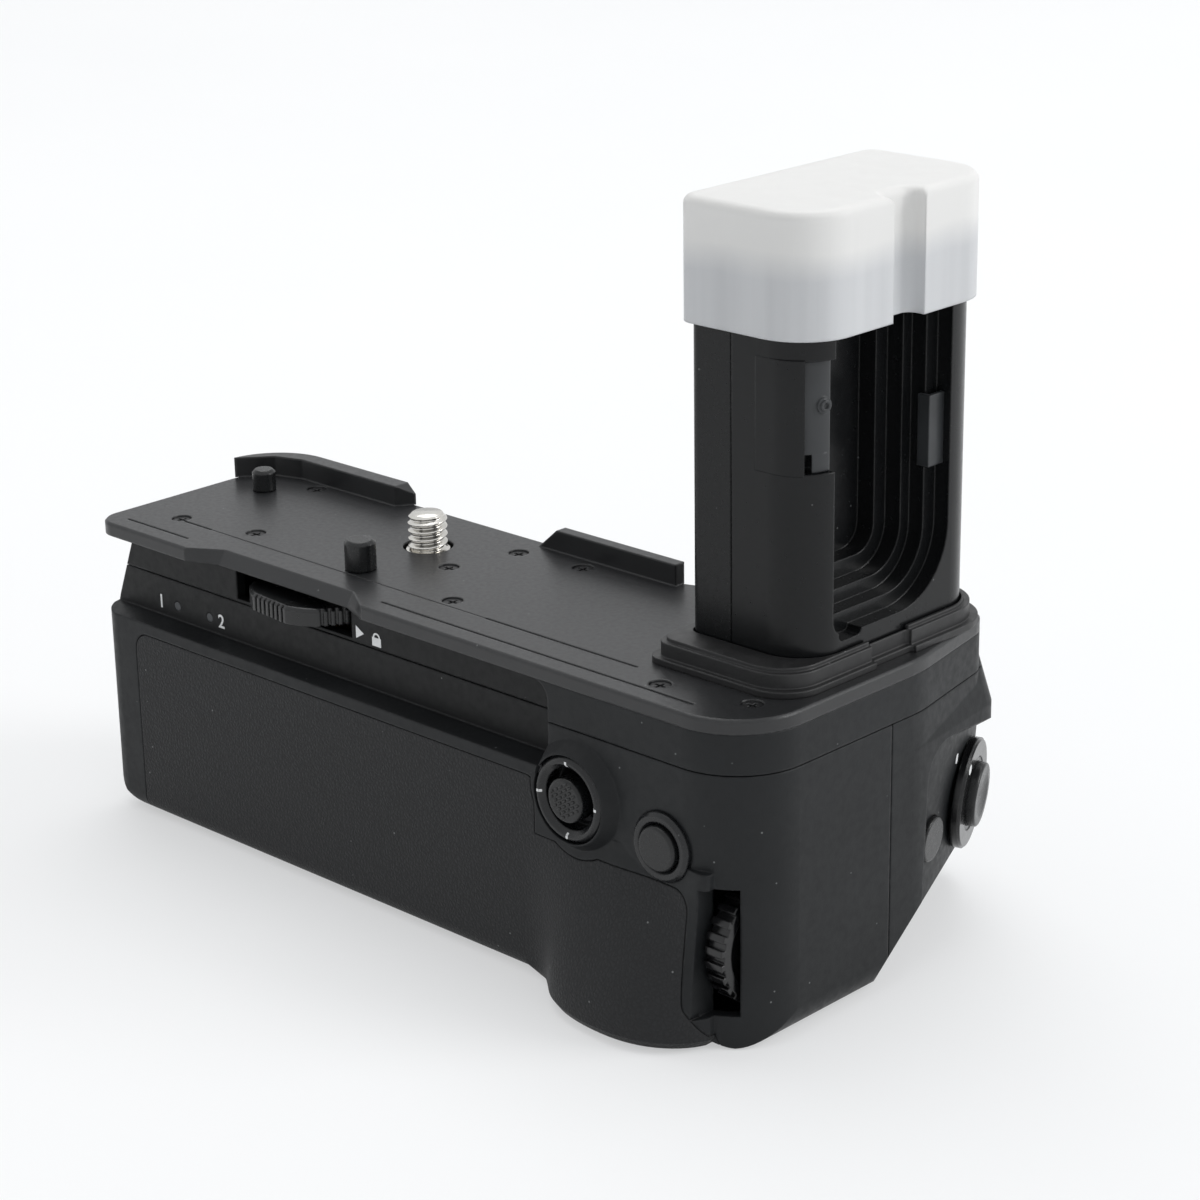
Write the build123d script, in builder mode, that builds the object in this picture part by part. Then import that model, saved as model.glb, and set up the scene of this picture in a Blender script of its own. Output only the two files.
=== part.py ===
"""Battery grip for a mirrorless camera, with its battery tray, in millimetres.

The origin is the mounting screw's axis on the camera seat. +X runs along the seat to the end that
carries the stalk and the shutter release, -Y is the rear with the thumb controls, +Z is up.
"""

import math
import os

from build123d import *

os.makedirs("parts", exist_ok=True)

# Camera seat, measured from the mounting screw's axis; its left end follows from the batteries
seat_right = 90.2
seat_rear = 26.5
seat_front = 13.4
seat_corner_rear_left = 4.0
seat_corner_rear_right = 11.5
seat_corner_front_left = 11.0
plate_thickness = 2.2
plate_edge = 0.35

# Hand grip's nose, its places taken inward from the seat's right end and back from its own front
nose_front = 42.0
nose_root_in = 43.2
nose_left_in = 33.2
nose_flat_in = 20.5
cheek_lean = 4.0
cheek_lean_low = 3.2
cheek_end_back = 10.4
cheek_end_back_low = 12.0
cheek_start = 12.0
nose_root_round = 8.0
nose_left_round = 10.0
nose_flat_round = 15.0
cheek_end_round = 5.0
cheek_start_round = 20.0

# Body below the seat
body_height = 50.0
body_front = 16.5
body_nose_front = 46.0
wall = 1.8
cover_depth = 8.2
seam_gap = 0.2
seam_from_screw = 5.3
end_lean = 5.4
end_lean_depth = 15.5
flare_depth = 14.0
flare_taper = 16.0
bottom_round_left = 10.0
bottom_round_right = 4.5
bottom_round_rear = 3.0
bottom_round_nose = 10.0
overrun = 30.0
cutter_reach = 200.0

# Recess along the rear for the thumb wheel and the lamps
strip_depth = 3.7
strip_bottom = 15.05
strip_ledge_drop = 0.75
strip_right = 52.7
strip_corner = 3.0
notch_left = 29.0
notch_right = 13.5
notch_ramp = 6.0
notch_depth = 3.7
notch_depth_low = 2.2
wheel_slot_left = 20.6
wheel_slot_right = 6.8
wheel_slot_bottom = 7.7

# Palm swell on the rear
swell_left = 47.0
swell_right = 83.6
swell_height = 8.0
swell_top = 23.0
swell_root = 6.0
swell_edge = 1.6
swell_taper = 35.0
swell_across_shares = ((0.0, 0.0), (0.28, 0.66), (0.55, 1.0), (0.85, 0.76), (1.0, 0.0))
swell_down_shares = ((0.0, 0.0), (0.20, 0.13), (0.45, 0.48), (0.72, 0.86), (1.0, 1.0))
swell_start_tangent = (1.0, 0.0)
swell_end_tangent = (0.35, 1.0)

# Curved facet that carries the shutter release
facet_curve = 86.0
facet_turn = 24.0
facet_tip = 4.5
facet_rear_low = 10.9
facet_rear_top = 14.6
facet_brow = 14.2
facet_corner = 6.5
facet_slope_share = 0.7
facet_reach = 14.0
facet_foot_tip = 27.0
facet_foot_drop = 9.0
release_x = 82.9
release_y = 32.1
release_depth = 29.2

# Rubber panels
rubber_thickness = 0.8
rubber_groove = 0.15
rubber_left_in = 8.9
rubber_top = 17.8
rubber_foot = 0.4
rubber_seat_foot = -0.6
rubber_corner = 3.0
rubber_neck = 49.4
rubber_neck_round = 1.5
rubber_selector_margin = 0.4
rubber_swell_top = 26.7
rubber_right = 80.3
rubber_right_mid = 81.2
rubber_right_low = 84.4
rubber_bend_low = 43.0
rubber_bend_round = 4.0
rubber_reach = 23.4

# Raised rims that guide the camera on to the seat
rim_height = 3.5
rim_inner = 10.4
rim_start = 3.4
rim_bend_in = 4.6
rim_bend_up = 8.7
rim_flat_in = 9.7
rim_end = 15.0
rim_ramp = 4.0
flange_inner = 11.4
flange_left = 13.6
flange_right = 43.0

# Grooves and screws in the seat
groove_width = 0.45
groove_depth = 0.4
hairline_width = 0.2
hairline_depth = 0.15
groove_rear_in = 3.4
groove_inner_in = 8.8
groove_rear_shares = ((-0.915, -0.613), (0.156, 0.863))
groove_inner_shares = ((-0.759, -0.626), (0.347, 0.690))
hairline_shares = ((-0.626, 0.347),)
plate_screw_shares = ((-0.790, -0.642), (-0.697, 0.619), (0.112, -0.192), (0.242, -0.585),
                      (0.149, 0.522), (0.290, 0.634), (0.766, -0.770), (0.928, -0.664))
wheel_screw_gap = 5.3
plate_screw_head = 3.1
plate_screw_head_height = 0.9
plate_screw_sunk = 0.25
plate_screw_shank = 1.6
plate_screw_length = 5.6
plate_screw_boss = 3.8
plate_screw_ribs = (0, 0, 1, 0, 0, 1, 1, -1, -1)
boss_bottom = 7.4
rib_width = 1.2
rib_bottom = 5.4
screw_recess_width = 0.45
screw_recess_length = 1.9
screw_recess_depth = 0.5
fit_gap = 0.1
hub_gap = 0.02
running_gap = 0.05

# Locating pins
small_pin_shares = (-0.821, 0.164)
small_pin_diameter = 3.96
small_pin_height = 3.7
large_pin_at = (0.3, -14.7)
large_pin_diameter = 5.0
large_pin_height = 4.9
pin_sunk = 1.5
pin_chamfer = 0.5
pin_neck_in = 0.4
pin_neck_rise = 0.15

# Mounting screw, its bush, gears and thumb wheel
screw_diameter = 6.35
screw_height = 5.6
screw_chamfer = 0.7
screw_flange_diameter = 7.1
screw_flange_top = 0.3
screw_flange_thickness = 1.0
screw_shaft_diameter = 4.8
screw_neck_diameter = 3.4
screw_tail_diameter = 3.0
screw_thread_relief = 0.4
screw_thread_start = 0.15
screw_hole_diameter = 8.1
screw_hole_depth = 1.5
bush_diameter = 6.8
bush_bottom = 3.6
bush_boss = 1.4
bush_boss_radius = 4.6
gear_module = 0.6
wheel_teeth = 20
screw_teeth = 32
gear_pressure = 20.0
gear_backlash = 0.14
gear_root_share = 1.25
gear_tip_share = 0.95
gear_flank_points = 4
gear_windows = 5
gear_window_at = 6.2
gear_window_radius = 1.5
gear_thickness = 2.4
gear_top = 8.4
wheel_bearing = 63.1
wheel_radius = 13.5
wheel_flat_radius = 12.8
wheel_top = 4.0
wheel_thickness = 2.8
wheel_flats = 6
wheel_corner_angle = -65.0
wheel_ribs = 7
wheel_rib_pitch = 1.15
wheel_rib_groove = 0.5
wheel_rib_depth = 0.45
wheel_hub_diameter = 8.0
wheel_bore_diameter = 3.1
wheel_axle_diameter = 3.0
bridge_top = 11.6
bridge_thickness = 1.2
bridge_margin = 2.6
bridge_post_diameter = 3.2
bridge_posts = ((-23.2, -8.0), (12.8, -10.6), (7.6, 9.8), (-12.4, 4.4))
axle_sunk = 1.0
wheel_edge = 0.5

# Stalk that enters the camera's battery chamber
stalk_left = 64.5
stalk_width = 21.5
stalk_rear = 8.9
stalk_length = 39.5
stalk_height = 60.0
stalk_root = 12.0
stalk_small_round = 1.5
stalk_large_round = 7.0
stalk_seam = 72.2
stalk_wall = 1.5
stalk_gap = 0.15
stalk_board_thickness = 1.2
stalk_board_margin = 3.0
stalk_duct = 1.2
stalk_root_inset = 0.8
stalk_chips = ((4.0, 40.0, 8.0, 8.0), (14.0, 20.0, 6.0, 12.0))
head_height = 3.0
head_inset = 0.5
terminal_sunk = 0.3
head_waist_depth = 3.4
head_waist_start = 14.9
head_waist_length = 11.0
head_waist_round = 2.0
head_slots = 9
head_slot_pitch = 3.0
head_slot_width = 1.3
head_slot_length = 5.5
head_slot_start = 4.0
terminal_thickness = 0.4
terminal_height = 2.2
foot_thickness = 1.5
foot_margin = 3.0
foot_right = 84.0
foot_front = 28.0

# Pocket in the stalk that stows the camera's battery cover
pocket_rear = 2.9
pocket_front = 22.8
pocket_bottom = 6.0
pocket_top_drop = 2.8
pocket_depth = 11.0
pocket_round_front = 11.0
pocket_round_rear = 2.4
pocket_foot_width = 5.0
pocket_foot_drop = 0.9
pocket_step_depths = (2.6, 5.2, 8.0)
pocket_step_front = (2.6, 4.6, 7.2)
pocket_step_bottom = (2.2, 4.4, 7.0)
window_bottom_drop = 29.6
window_top_drop = 13.6
window_depth = 3.6
window_reach = 9.0
clip_thickness = 0.7
clip_gap = 0.15
clip_foot = 1.0
clip_foot_rise = 3.0
clip_boss_diameter = 2.6
clip_boss_share = 0.57
front_clip_bottom_drop = 34.4
front_clip_top_drop = 23.8
front_clip_width = 3.4
front_clip_sunk = 1.2
front_clip_lip = 1.4

# Gasket round the stalk and the translucent terminal cap
gasket_height = 3.8
gasket_gap = 0.3
gasket_left_margin = 2.3
gasket_right_margin = 1.4
gasket_rear_margin = 5.4
gasket_front_margin = 2.0
gasket_round = 6.5
gasket_round_front = 9.0
gasket_round_left = 2.5
gasket_step = 0.9
gasket_step_height = 1.0
gasket_edge = 0.6
gasket_waist_depth = 0.8
gasket_waist_rear = 4.0
gasket_waist_length = 9.0
cap_overlap = 10.5
cap_rise = 7.3
cap_gap = 0.25
cap_wall = 1.1
cap_edge = 1.4
cap_waist_y = 11.0
cap_waist_width = 6.8
cap_waist_depth = 2.9
cap_waist_round = 1.6
cap_rib_width = 1.2
cap_rib_length = 4.0
cap_rib_inset = 6.0

# Batteries, tray and end cap
battery_length = 56.5
battery_width = 38.7
battery_thickness = 20.9
battery_round = 3.0
battery_play = 0.35
battery_gap = 0.9
battery_terminal_width = 1.6
battery_terminal_pitch = 3.2
battery_terminals = 7
tray_floor = 0.8
tray_side_in = 1.4
tray_wall = 0.9
tray_low_wall = 5.0
tray_end_wall = 12.0
frame_wall = 1.1
frame_short = 7.0
frame_rib_height = 1.0
frame_rib_pitch = 17.0
first_rib_in = 2.5
frame_ribs = 3
slide_gap = 0.2
rail_width = 4.0
rail_y = (-19.5, 9.5)
rail_right = 68.0
opening_rise = 0.25
opening_short = 6.7
tripod_bush_short = 0.1
tripod_height = 4.8
end_cap_thickness = 4.4
end_cap_gap = 0.15
knob_diameter = 13.0
knob_recess = 1.3
knob_gap = 0.2
knob_rim = 0.8
knob_bar_width = 3.2
knob_dish = 0.8
bolt_level = 2.0
knob_shaft_diameter = 3.0
bolt_thickness = 1.0
bolt_width = 4.6
bolt_reach = 12.6
bolt_gap = 0.2
bolt_hub_radius = 3.4

# Multi selector on the rear
selector_x = 58.3
selector_z = 18.2
selector_rise = 2.1
selector_base_radius = 9.2
selector_taper = 38.0
selector_hole_radius = 4.5
selector_hole_reach = 3.0
bezel_radius = 6.7
bezel_sunk = 1.0
bezel_proud = 2.3
bezel_mouth_radius = 4.7
bezel_flare = 0.8
selector_cap_radius = 3.4
selector_cap_proud = 2.7
selector_cap_height = 3.0
selector_cap_top = 0.6
selector_cap_edge = 0.5
selector_stem_radius = 1.1
selector_stem_proud = 1.5
selector_stem_tail = 1.5
selector_pivot = 4.9
selector_ring_radius = 3.1
selector_ring_bore = 1.9
selector_ring_thickness = 1.2
selector_pin_radius = 0.4
selector_pin_gap = 0.04
selector_ring_pin_reach = 4.4
selector_stem_pin_reach = 2.9
selector_dish_radius = 3.9
selector_dish_thickness = 0.4
selector_dish_level = 2.6
selector_box_half = 3.2
selector_box_long = 4.6
selector_lug = 1.0
selector_lug_half = 1.15
selector_back = 1.0
board_front_depth = 9.3

# Thumb button on the rear
thumb_x = 75.0
thumb_z = 21.1
thumb_radius = 3.4
thumb_collar_radius = 5.2
thumb_collar_proud = 1.0
thumb_collar_edge = 0.5
thumb_hole_radius = 3.6
collar_seat = 1.0
thumb_proud = 1.7
thumb_edge = 0.5
thumb_flange_radius = 4.3
thumb_flange_top = 2.1
thumb_flange_bottom = 2.9
thumb_stem_radius = 1.5
thumb_stem_bottom = 4.4
thumb_travel = 0.5

# Command dials
dial_width = 3.2
dial_radius = 9.2
dial_teeth = 26
dial_tooth_depth = 0.7
dial_axle_diameter = 2.4
dial_slot_gap = 0.6
rear_dial_x = 84.4
rear_dial_out = 26.7
rear_dial_z = 35.6
rear_slot_top = 25.4
rear_slot_bottom = 45.0
rear_slot_inner = 18.0
front_dial_x = 65.0
front_dial_proud = 0.9
front_dial_z = 26.0
front_dial_radius = 8.2
front_slot_depth = 8.0
front_slot_half = 9.0
dial_recess = 0.5
dial_rim = 2.2
dial_hub_radius = 2.4
bracket_wall = 0.7
bracket_gap = 0.4
bracket_ahead = 2.0
bracket_half = 3.0
bracket_back_gap = 0.6
bracket_back = 1.0
bracket_foot_gap = 0.5

# Shutter release, lock ring and function button
ring_radius = 8.6
ring_base = 0.25
ring_proud = 1.7
ring_tab_length = 1.7
ring_tab_width = 4.6
ring_tab_angle = -40.0
ring_tab_round = 1.0
ring_edge = 0.3
release_radius = 5.0
release_proud = 3.1
release_head = 2.0
release_dish = 0.5
release_dish_radius = 14.0
release_edge = 0.4
release_stem_radius = 1.5
release_stem_length = 5.4
collar_radius = 7.6
collar_neck_radius = 5.75
collar_floor = 1.0
collar_flange_gap = 0.45
collar_sunk = 3.2
function_turn = 10.0
function_drop = 1.8
function_radius = 3.5
function_proud = 0.8
function_edge = 0.3
function_flange_top = 2.2
function_flange_bottom = 3.1
function_flange_radius = 4.3
function_stem_radius = 1.3
function_stem_bottom = 5.2

# Boards, contacts and small switches
board_thickness = 1.2
board_top = 9.2
board_bottom = 21.6
board_low_bottom = 26.4
board_left = 50.2
board_right = 80.6
board_step = 68.9
switch_half = 2.6
switch_gap = 0.15
switch_plunger_radius = 1.2
switch_plunger = 0.5
chip_height = 0.9
chips = ((-12.0, 3.0, 7.0, 7.0), (1.0, 4.0, 9.0, 6.0), (14.0, -3.0, 5.0, 8.0))
main_board_left = 14.0
main_board_right = 60.0
main_board_rear = 8.0
main_board_front = 12.0
main_board_rise = 3.0
main_board_post = 3.0
main_board_inset = 3.0
contact_block_thickness = 3.0
contact_block_top = 27.0
contact_block_bottom = 37.0
contact_block_half = 13.0
contact_plate_thickness = 1.1
contact_plate_half = 15.0
contact_left = 69.3
battery_slot_depth = 1.6
tray_stop_gap = 0.9
tray_window_share = 0.6
tray_window_width = 12.0
contact_blade_reach = 1.2
contact_blade_width = 1.4
contact_blade_in = 2.0
release_board_depth = 8.2
release_board_back = 19.5
release_board_ahead = 6.0
release_board_half = 4.0
release_switch_top = 5.15
function_switch_top = 5.75
release_post_u = 9.2
release_post_v = 2.8
release_post_radius = 0.9
release_post_top = 2.5
lamp_radius = 0.75
lamp_shares = (-0.696, -0.538)
lamp_level = 12.7
tripod_thread_diameter = 6.35
tripod_bush_diameter = 11.0
tripod_flange_diameter = 15.0
tripod_flange_thickness = 1.2
tripod_edge = 0.5
shell_screw_shares = (-0.578, 0.399)
shell_screw_head = 3.6
shell_screw_sunk = 0.4
shell_screw_head_height = 0.9
shell_screw_shank = 1.8
shell_screw_length = 3.0
front_rubber_left = 47.0
front_rubber_neck = 60.6
front_rubber_right = 77.0
front_rubber_top = 18.0
front_rubber_step = 37.4
front_rubber_rear = 22.0

# Places that follow from the sizes above
stalk_front = stalk_length - stalk_rear
stalk_right = stalk_left + stalk_width
pocket_top = stalk_height - pocket_top_drop
window_bottom = stalk_height - window_bottom_drop
window_top = stalk_height - window_top_drop
clip_boss_height = window_bottom + clip_boss_share * (window_top - window_bottom)
front_clip_bottom = stalk_height - front_clip_bottom_drop
front_clip_top = stalk_height - front_clip_top_drop
cap_bottom = stalk_height - cap_overlap
cap_top = stalk_height + cap_rise
wheel_distance = gear_module * (wheel_teeth + screw_teeth) / 2
wheel_x = -wheel_distance * math.cos(math.radians(wheel_bearing))
wheel_y = -wheel_distance * math.sin(math.radians(wheel_bearing))
tray_top = body_height - tripod_height - slide_gap
tray_inner_top = tray_top - tray_floor
battery_bottom = tray_inner_top - fit_gap
battery_top = battery_bottom - battery_thickness
frame_low = body_height - tripod_height
frame_top = battery_top - battery_play
chamber_rear = seat_rear - wall
battery_rear = chamber_rear - battery_play
battery_front = battery_width - battery_rear
tray_right = contact_left - tray_stop_gap
second_battery = tray_right - tray_wall - fit_gap - battery_length
first_battery = second_battery - battery_gap - battery_length
end_cap_inner = -first_battery + fit_gap + tray_wall
seat_left = end_cap_inner + end_cap_thickness
frame_left = end_cap_inner - frame_short
opening_right = end_cap_inner - opening_short
rubber_left = seat_left - rubber_left_in
end_cap_z = -(tray_top + frame_top) / 2
end_cap_y = (battery_front - battery_rear) / 2
tray_middle = end_cap_y
nose_root_x = seat_right - nose_root_in
plate_screw_seat = plate_screw_sunk + plate_screw_head_height
post_length = bridge_top - plate_thickness
shell_screw_seat = shell_screw_sunk + shell_screw_head_height
tray_low = body_height - wall - fit_gap
opening_top = frame_top - opening_rise
opening_front = body_front - wall - fit_gap


def seat_place(along, across=0.0):
    """Place on the seat, from shares of its reach to the left or right and to the rear or front."""
    x = along * (seat_right if along > 0 else seat_left)
    y = across * (seat_front if across > 0 else seat_rear)
    return x, y


def seat_spans(shares, inward):
    """Stretches along the seat, from shares of its reach, at a distance in from its rear edge."""
    return tuple((seat_place(start)[0], seat_place(end)[0], seat_rear - inward) for start, end in shares)


whole_x = (-seat_left - overrun, seat_right + overrun)
whole_y = (-body_height - overrun, body_height + overrun)
whole_z = (-body_height - overrun, overrun)
grooves = seat_spans(groove_rear_shares, groove_rear_in) + seat_spans(groove_inner_shares, groove_inner_in)
hairlines = seat_spans(hairline_shares, groove_inner_in)
wheel_screw = (wheel_x - wheel_radius - wheel_screw_gap, wheel_y)
plate_screws = (wheel_screw,) + tuple(seat_place(*shares) for shares in plate_screw_shares)
small_pin_at = seat_place(*small_pin_shares)
lamp_places = tuple(seat_place(share)[0] for share in lamp_shares)
shell_screws = tuple((seat_place(share)[0], y) for share in shell_screw_shares for y in rail_y)


def outline_points(low):
    """Corners of the seat's outline, or of the body's fuller one, each with its rounding."""
    front, nose = (body_front, body_nose_front) if low else (seat_front, nose_front)
    lean, back = (cheek_lean_low, cheek_end_back_low) if low else (cheek_lean, cheek_end_back)
    return (
        ((-seat_left, -seat_rear), seat_corner_rear_left),
        ((seat_right, -seat_rear), seat_corner_rear_right),
        ((seat_right, cheek_start), cheek_start_round),
        ((seat_right - lean, nose - back), cheek_end_round),
        ((seat_right - nose_flat_in, nose), nose_flat_round),
        ((seat_right - nose_left_in, nose), nose_left_round),
        ((nose_root_x, front), nose_root_round),
        ((-seat_left, front), seat_corner_front_left),
    )


def outline(height, low=False, inset=0.0):
    """Closed outline at a height, drawn in by an inset."""
    corners = outline_points(low)
    with BuildSketch(Plane.XY.offset(height)) as shape:
        with BuildLine():
            FilletPolyline(*[point for point, _ in corners], radius=[size for _, size in corners],
                           close=True)
        make_face()
        if inset > 0:
            offset(amount=-inset)
    return shape.sketch


def side_profile(inset):
    """The body seen from the rear: leaning left end, rounded bottom corners."""
    low = -body_height + inset
    left = -seat_left + inset
    right = seat_right - inset
    with BuildSketch(Plane.XZ) as shape:
        with BuildLine():
            FilletPolyline(
                (left + end_lean, -plate_thickness), (left, -end_lean_depth), (left, low), (right, low),
                (right, -plate_thickness),
                radius=[fit_gap, bottom_round_left, bottom_round_left - inset,
                        bottom_round_right - inset, fit_gap],
                close=True,
            )
        make_face()
    return shape.sketch


def end_profile(inset):
    """The body seen along X: rounded bottom edges at the rear and at the nose."""
    low = -body_height + inset
    with BuildSketch(Plane.YZ) as shape:
        with BuildLine():
            FilletPolyline(
                (-seat_rear + inset, -plate_thickness), (-seat_rear + inset, low),
                (body_nose_front - inset, low), (body_nose_front - inset, -plate_thickness),
                radius=[fit_gap, bottom_round_rear - inset, bottom_round_nose - inset, fit_gap],
                close=True,
            )
        make_face()
    return shape.sketch


def swell_section(share_down, share_out, inset):
    """One level of the palm swell, a curve closed behind the rear wall."""
    reach = swell_right - swell_left - 2 * inset
    level = -swell_top - share_down * (body_height - swell_edge - swell_top)
    points = [
        (swell_left + inset + across * reach, -seat_rear + inset - out * share_out * swell_height)
        for across, out in swell_across_shares
    ]
    with BuildSketch(Plane.XY.offset(level)) as shape:
        with BuildLine():
            Spline(*points, tangents=(swell_start_tangent, swell_end_tangent))
            Polyline(points[-1], (points[-1][0], -seat_rear + swell_root),
                     (points[0][0], -seat_rear + swell_root), points[0])
        make_face()
    return shape.sketch


def swell_form(inset=0.0):
    """Palm swell that grows towards the bottom edge, with a worn-round foot."""
    with BuildPart() as form:
        loft([swell_section(down, out, inset) for down, out in swell_down_shares])
        if inset == 0:
            low = swell_section(1.0, 1.0, 0.0)
            extrude(low, amount=-swell_edge, taper=swell_taper)
    return form.part


def facet_axes():
    """Direction out of the facet at the shutter release, along it to the front, and up it."""
    turn = math.radians(facet_turn)
    tip = math.radians(facet_tip)
    out = Vector(math.cos(turn) * math.cos(tip), math.sin(turn) * math.cos(tip), -math.sin(tip))
    along = Vector(-math.sin(turn), math.cos(turn), 0)
    return out, along, out.cross(along)


def facet_plane(turn=0.0, rise=0.0, shift=0.0):
    """Plane that touches the curved facet, turned back along it, raised and shifted outward."""
    out, along, up = facet_axes()
    middle = Vector(release_x, release_y, -release_depth) - out * facet_curve
    angle = math.radians(turn)
    normal = out * math.cos(angle) - along * math.sin(angle)
    origin = middle + normal * (facet_curve + shift) + up * rise
    return Plane(origin=origin, x_dir=up.cross(normal), z_dir=normal)


def facet_rim(depth, inset):
    """Edge of the facet's recess at a depth below the right end, closing in with depth."""
    close_in = depth * facet_slope_share - inset
    with BuildSketch(Plane.YZ.offset(seat_right - inset - depth)) as rim:
        with BuildLine():
            FilletPolyline(
                (facet_rear_low + close_in, -body_height - overrun),
                (facet_rear_top + close_in, -facet_brow - close_in),
                (body_nose_front + overrun, -facet_brow - close_in),
                (body_nose_front + overrun, -body_height - overrun),
                radius=[fit_gap, facet_corner + inset, fit_gap, fit_gap],
                close=True,
            )
        make_face()
    return rim.sketch


def facet_cutter(inset=0.0):
    """What lies outside the curved facet: removing it leaves the facet under a brow."""
    _, _, up = facet_axes()
    middle = facet_plane(shift=-facet_curve).origin
    with BuildPart() as cutter:
        loft([facet_rim(facet_reach, inset), facet_rim(0.0, inset)], ruled=True)
        extrude(facet_rim(0.0, inset), amount=overrun)
        with Locations(Plane(origin=middle, z_dir=up)):
            Cylinder(facet_curve - inset, cutter_reach, mode=Mode.SUBTRACT)
    return cutter.part


def facet_foot_cutter(inset=0.0):
    """What lies outside the slope that leads from the facet to the bottom."""
    turn = math.radians(facet_turn)
    tip = math.radians(facet_foot_tip)
    normal = Vector(math.cos(turn) * math.cos(tip), math.sin(turn) * math.cos(tip), -math.sin(tip))
    start = facet_plane(rise=-facet_foot_drop).origin - normal * inset
    with BuildPart() as cutter:
        with BuildSketch(Plane(origin=start, z_dir=normal)):
            Rectangle(cutter_reach, cutter_reach)
        extrude(amount=overrun)
    return cutter.part


def strip_cutter(inset=0.0):
    """The long recess along the rear, under the seat's overhang."""
    face = -seat_rear + strip_depth + inset
    low = -strip_bottom - inset
    right = strip_right + inset
    left = -seat_left - overrun
    with BuildPart() as cutter:
        with BuildSketch(Plane.XZ.offset(-face)):
            with BuildLine():
                FilletPolyline(
                    (left, -plate_thickness), (left, low), (right, low), (right, -plate_thickness),
                    radius=[fit_gap, fit_gap, fit_gap, strip_corner],
                    close=True,
                )
            make_face()
        extrude(amount=overrun)
        with BuildSketch(Plane.YZ.offset(left)):
            with BuildLine():
                Polyline((face, low), (-seat_rear - inset, low - strip_ledge_drop),
                         (-seat_rear - overrun, low - strip_ledge_drop), (-seat_rear - overrun, low),
                         close=True)
            make_face()
        extrude(amount=right - left)
    return cutter.part


def body_form(inset=0.0):
    """Outer form of the body below the seat plate, or the hollow inside its wall."""
    reach = seat_right + overrun
    with BuildPart() as form:
        extrude(outline(-body_height + inset, True, inset), amount=body_height - inset - flare_depth)
        extrude(outline(-flare_depth, False, inset), amount=flare_depth - plate_thickness)
        extrude(outline(-flare_depth, True, inset), amount=flare_depth - plate_thickness, taper=flare_taper)
        extrude(side_profile(inset), amount=reach, both=True, mode=Mode.INTERSECT)
        extrude(end_profile(inset), amount=reach, both=True, mode=Mode.INTERSECT)
        with BuildSketch(Plane.YZ.offset(-seat_left - overrun)):
            with BuildLine():
                low = -body_height + inset
                front = body_front - inset
                edge = bottom_round_rear - inset
                Polyline((front - edge, low), (front, low), (front, low + edge))
                RadiusArc((front, low + edge), (front - edge, low), edge)
            make_face()
        extrude(amount=seat_left + overrun + nose_root_x - nose_root_round, mode=Mode.SUBTRACT)
        add(strip_cutter(inset), mode=Mode.SUBTRACT)
        add(facet_cutter(inset), mode=Mode.SUBTRACT)
        add(facet_foot_cutter(inset), mode=Mode.SUBTRACT)
        if inset < wall:
            add(swell_form(inset))
    return form.part


def export(part, name):
    """Label a finished piece and write it."""
    part.label = name
    export_step(part, f"parts/{name}.step")
    print(f"{name}: {part.volume:.1f} mm3")


body = body_form()
hollow = body_form(wall)
body_skin = body_form(rubber_thickness)


def box(x_range, y_range, z_range):
    """Plain block between two values on each axis."""
    with BuildPart() as block:
        with BuildSketch(Plane.XY.offset(z_range[0])):
            with BuildLine():
                Polyline((x_range[0], y_range[0]), (x_range[1], y_range[0]), (x_range[1], y_range[1]),
                         (x_range[0], y_range[1]), close=True)
            make_face()
        extrude(amount=z_range[1] - z_range[0])
    return block.part


def discs(plane, steps, places=((0.0, 0.0),)):
    """Stacks of discs on a plane; each step is a start, an end and a radius."""
    with BuildPart() as stack:
        for start, end, radius in steps:
            with BuildSketch(plane.offset(start)):
                with Locations(*places):
                    Circle(radius)
            extrude(amount=end - start)
    return stack.part


def rear_plane(x, z, shift=0.0):
    """Plane on the rear wall at a place, facing out."""
    return Plane(origin=(x, -seat_rear - shift, -z), x_dir=(1, 0, 0), z_dir=(0, -1, 0))


def below(level):
    """Everything under a level, as a block."""
    return box(whole_x, whole_y, (-body_height - overrun, level))


def stalk_outline(height, grow=0.0):
    """Outline of the stalk, grown or shrunk."""
    small, large = stalk_small_round + grow, stalk_large_round + grow
    with BuildSketch(Plane.XY.offset(height)) as shape:
        with BuildLine():
            FilletPolyline(
                (stalk_left - grow, -stalk_rear - grow), (stalk_right + grow, -stalk_rear - grow),
                (stalk_right + grow, stalk_front + grow), (stalk_left - grow, stalk_front + grow),
                radius=[max(small, fit_gap), max(large, fit_gap), max(large, fit_gap), max(small, fit_gap)],
                close=True,
            )
        make_face()
    return shape.sketch


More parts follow.
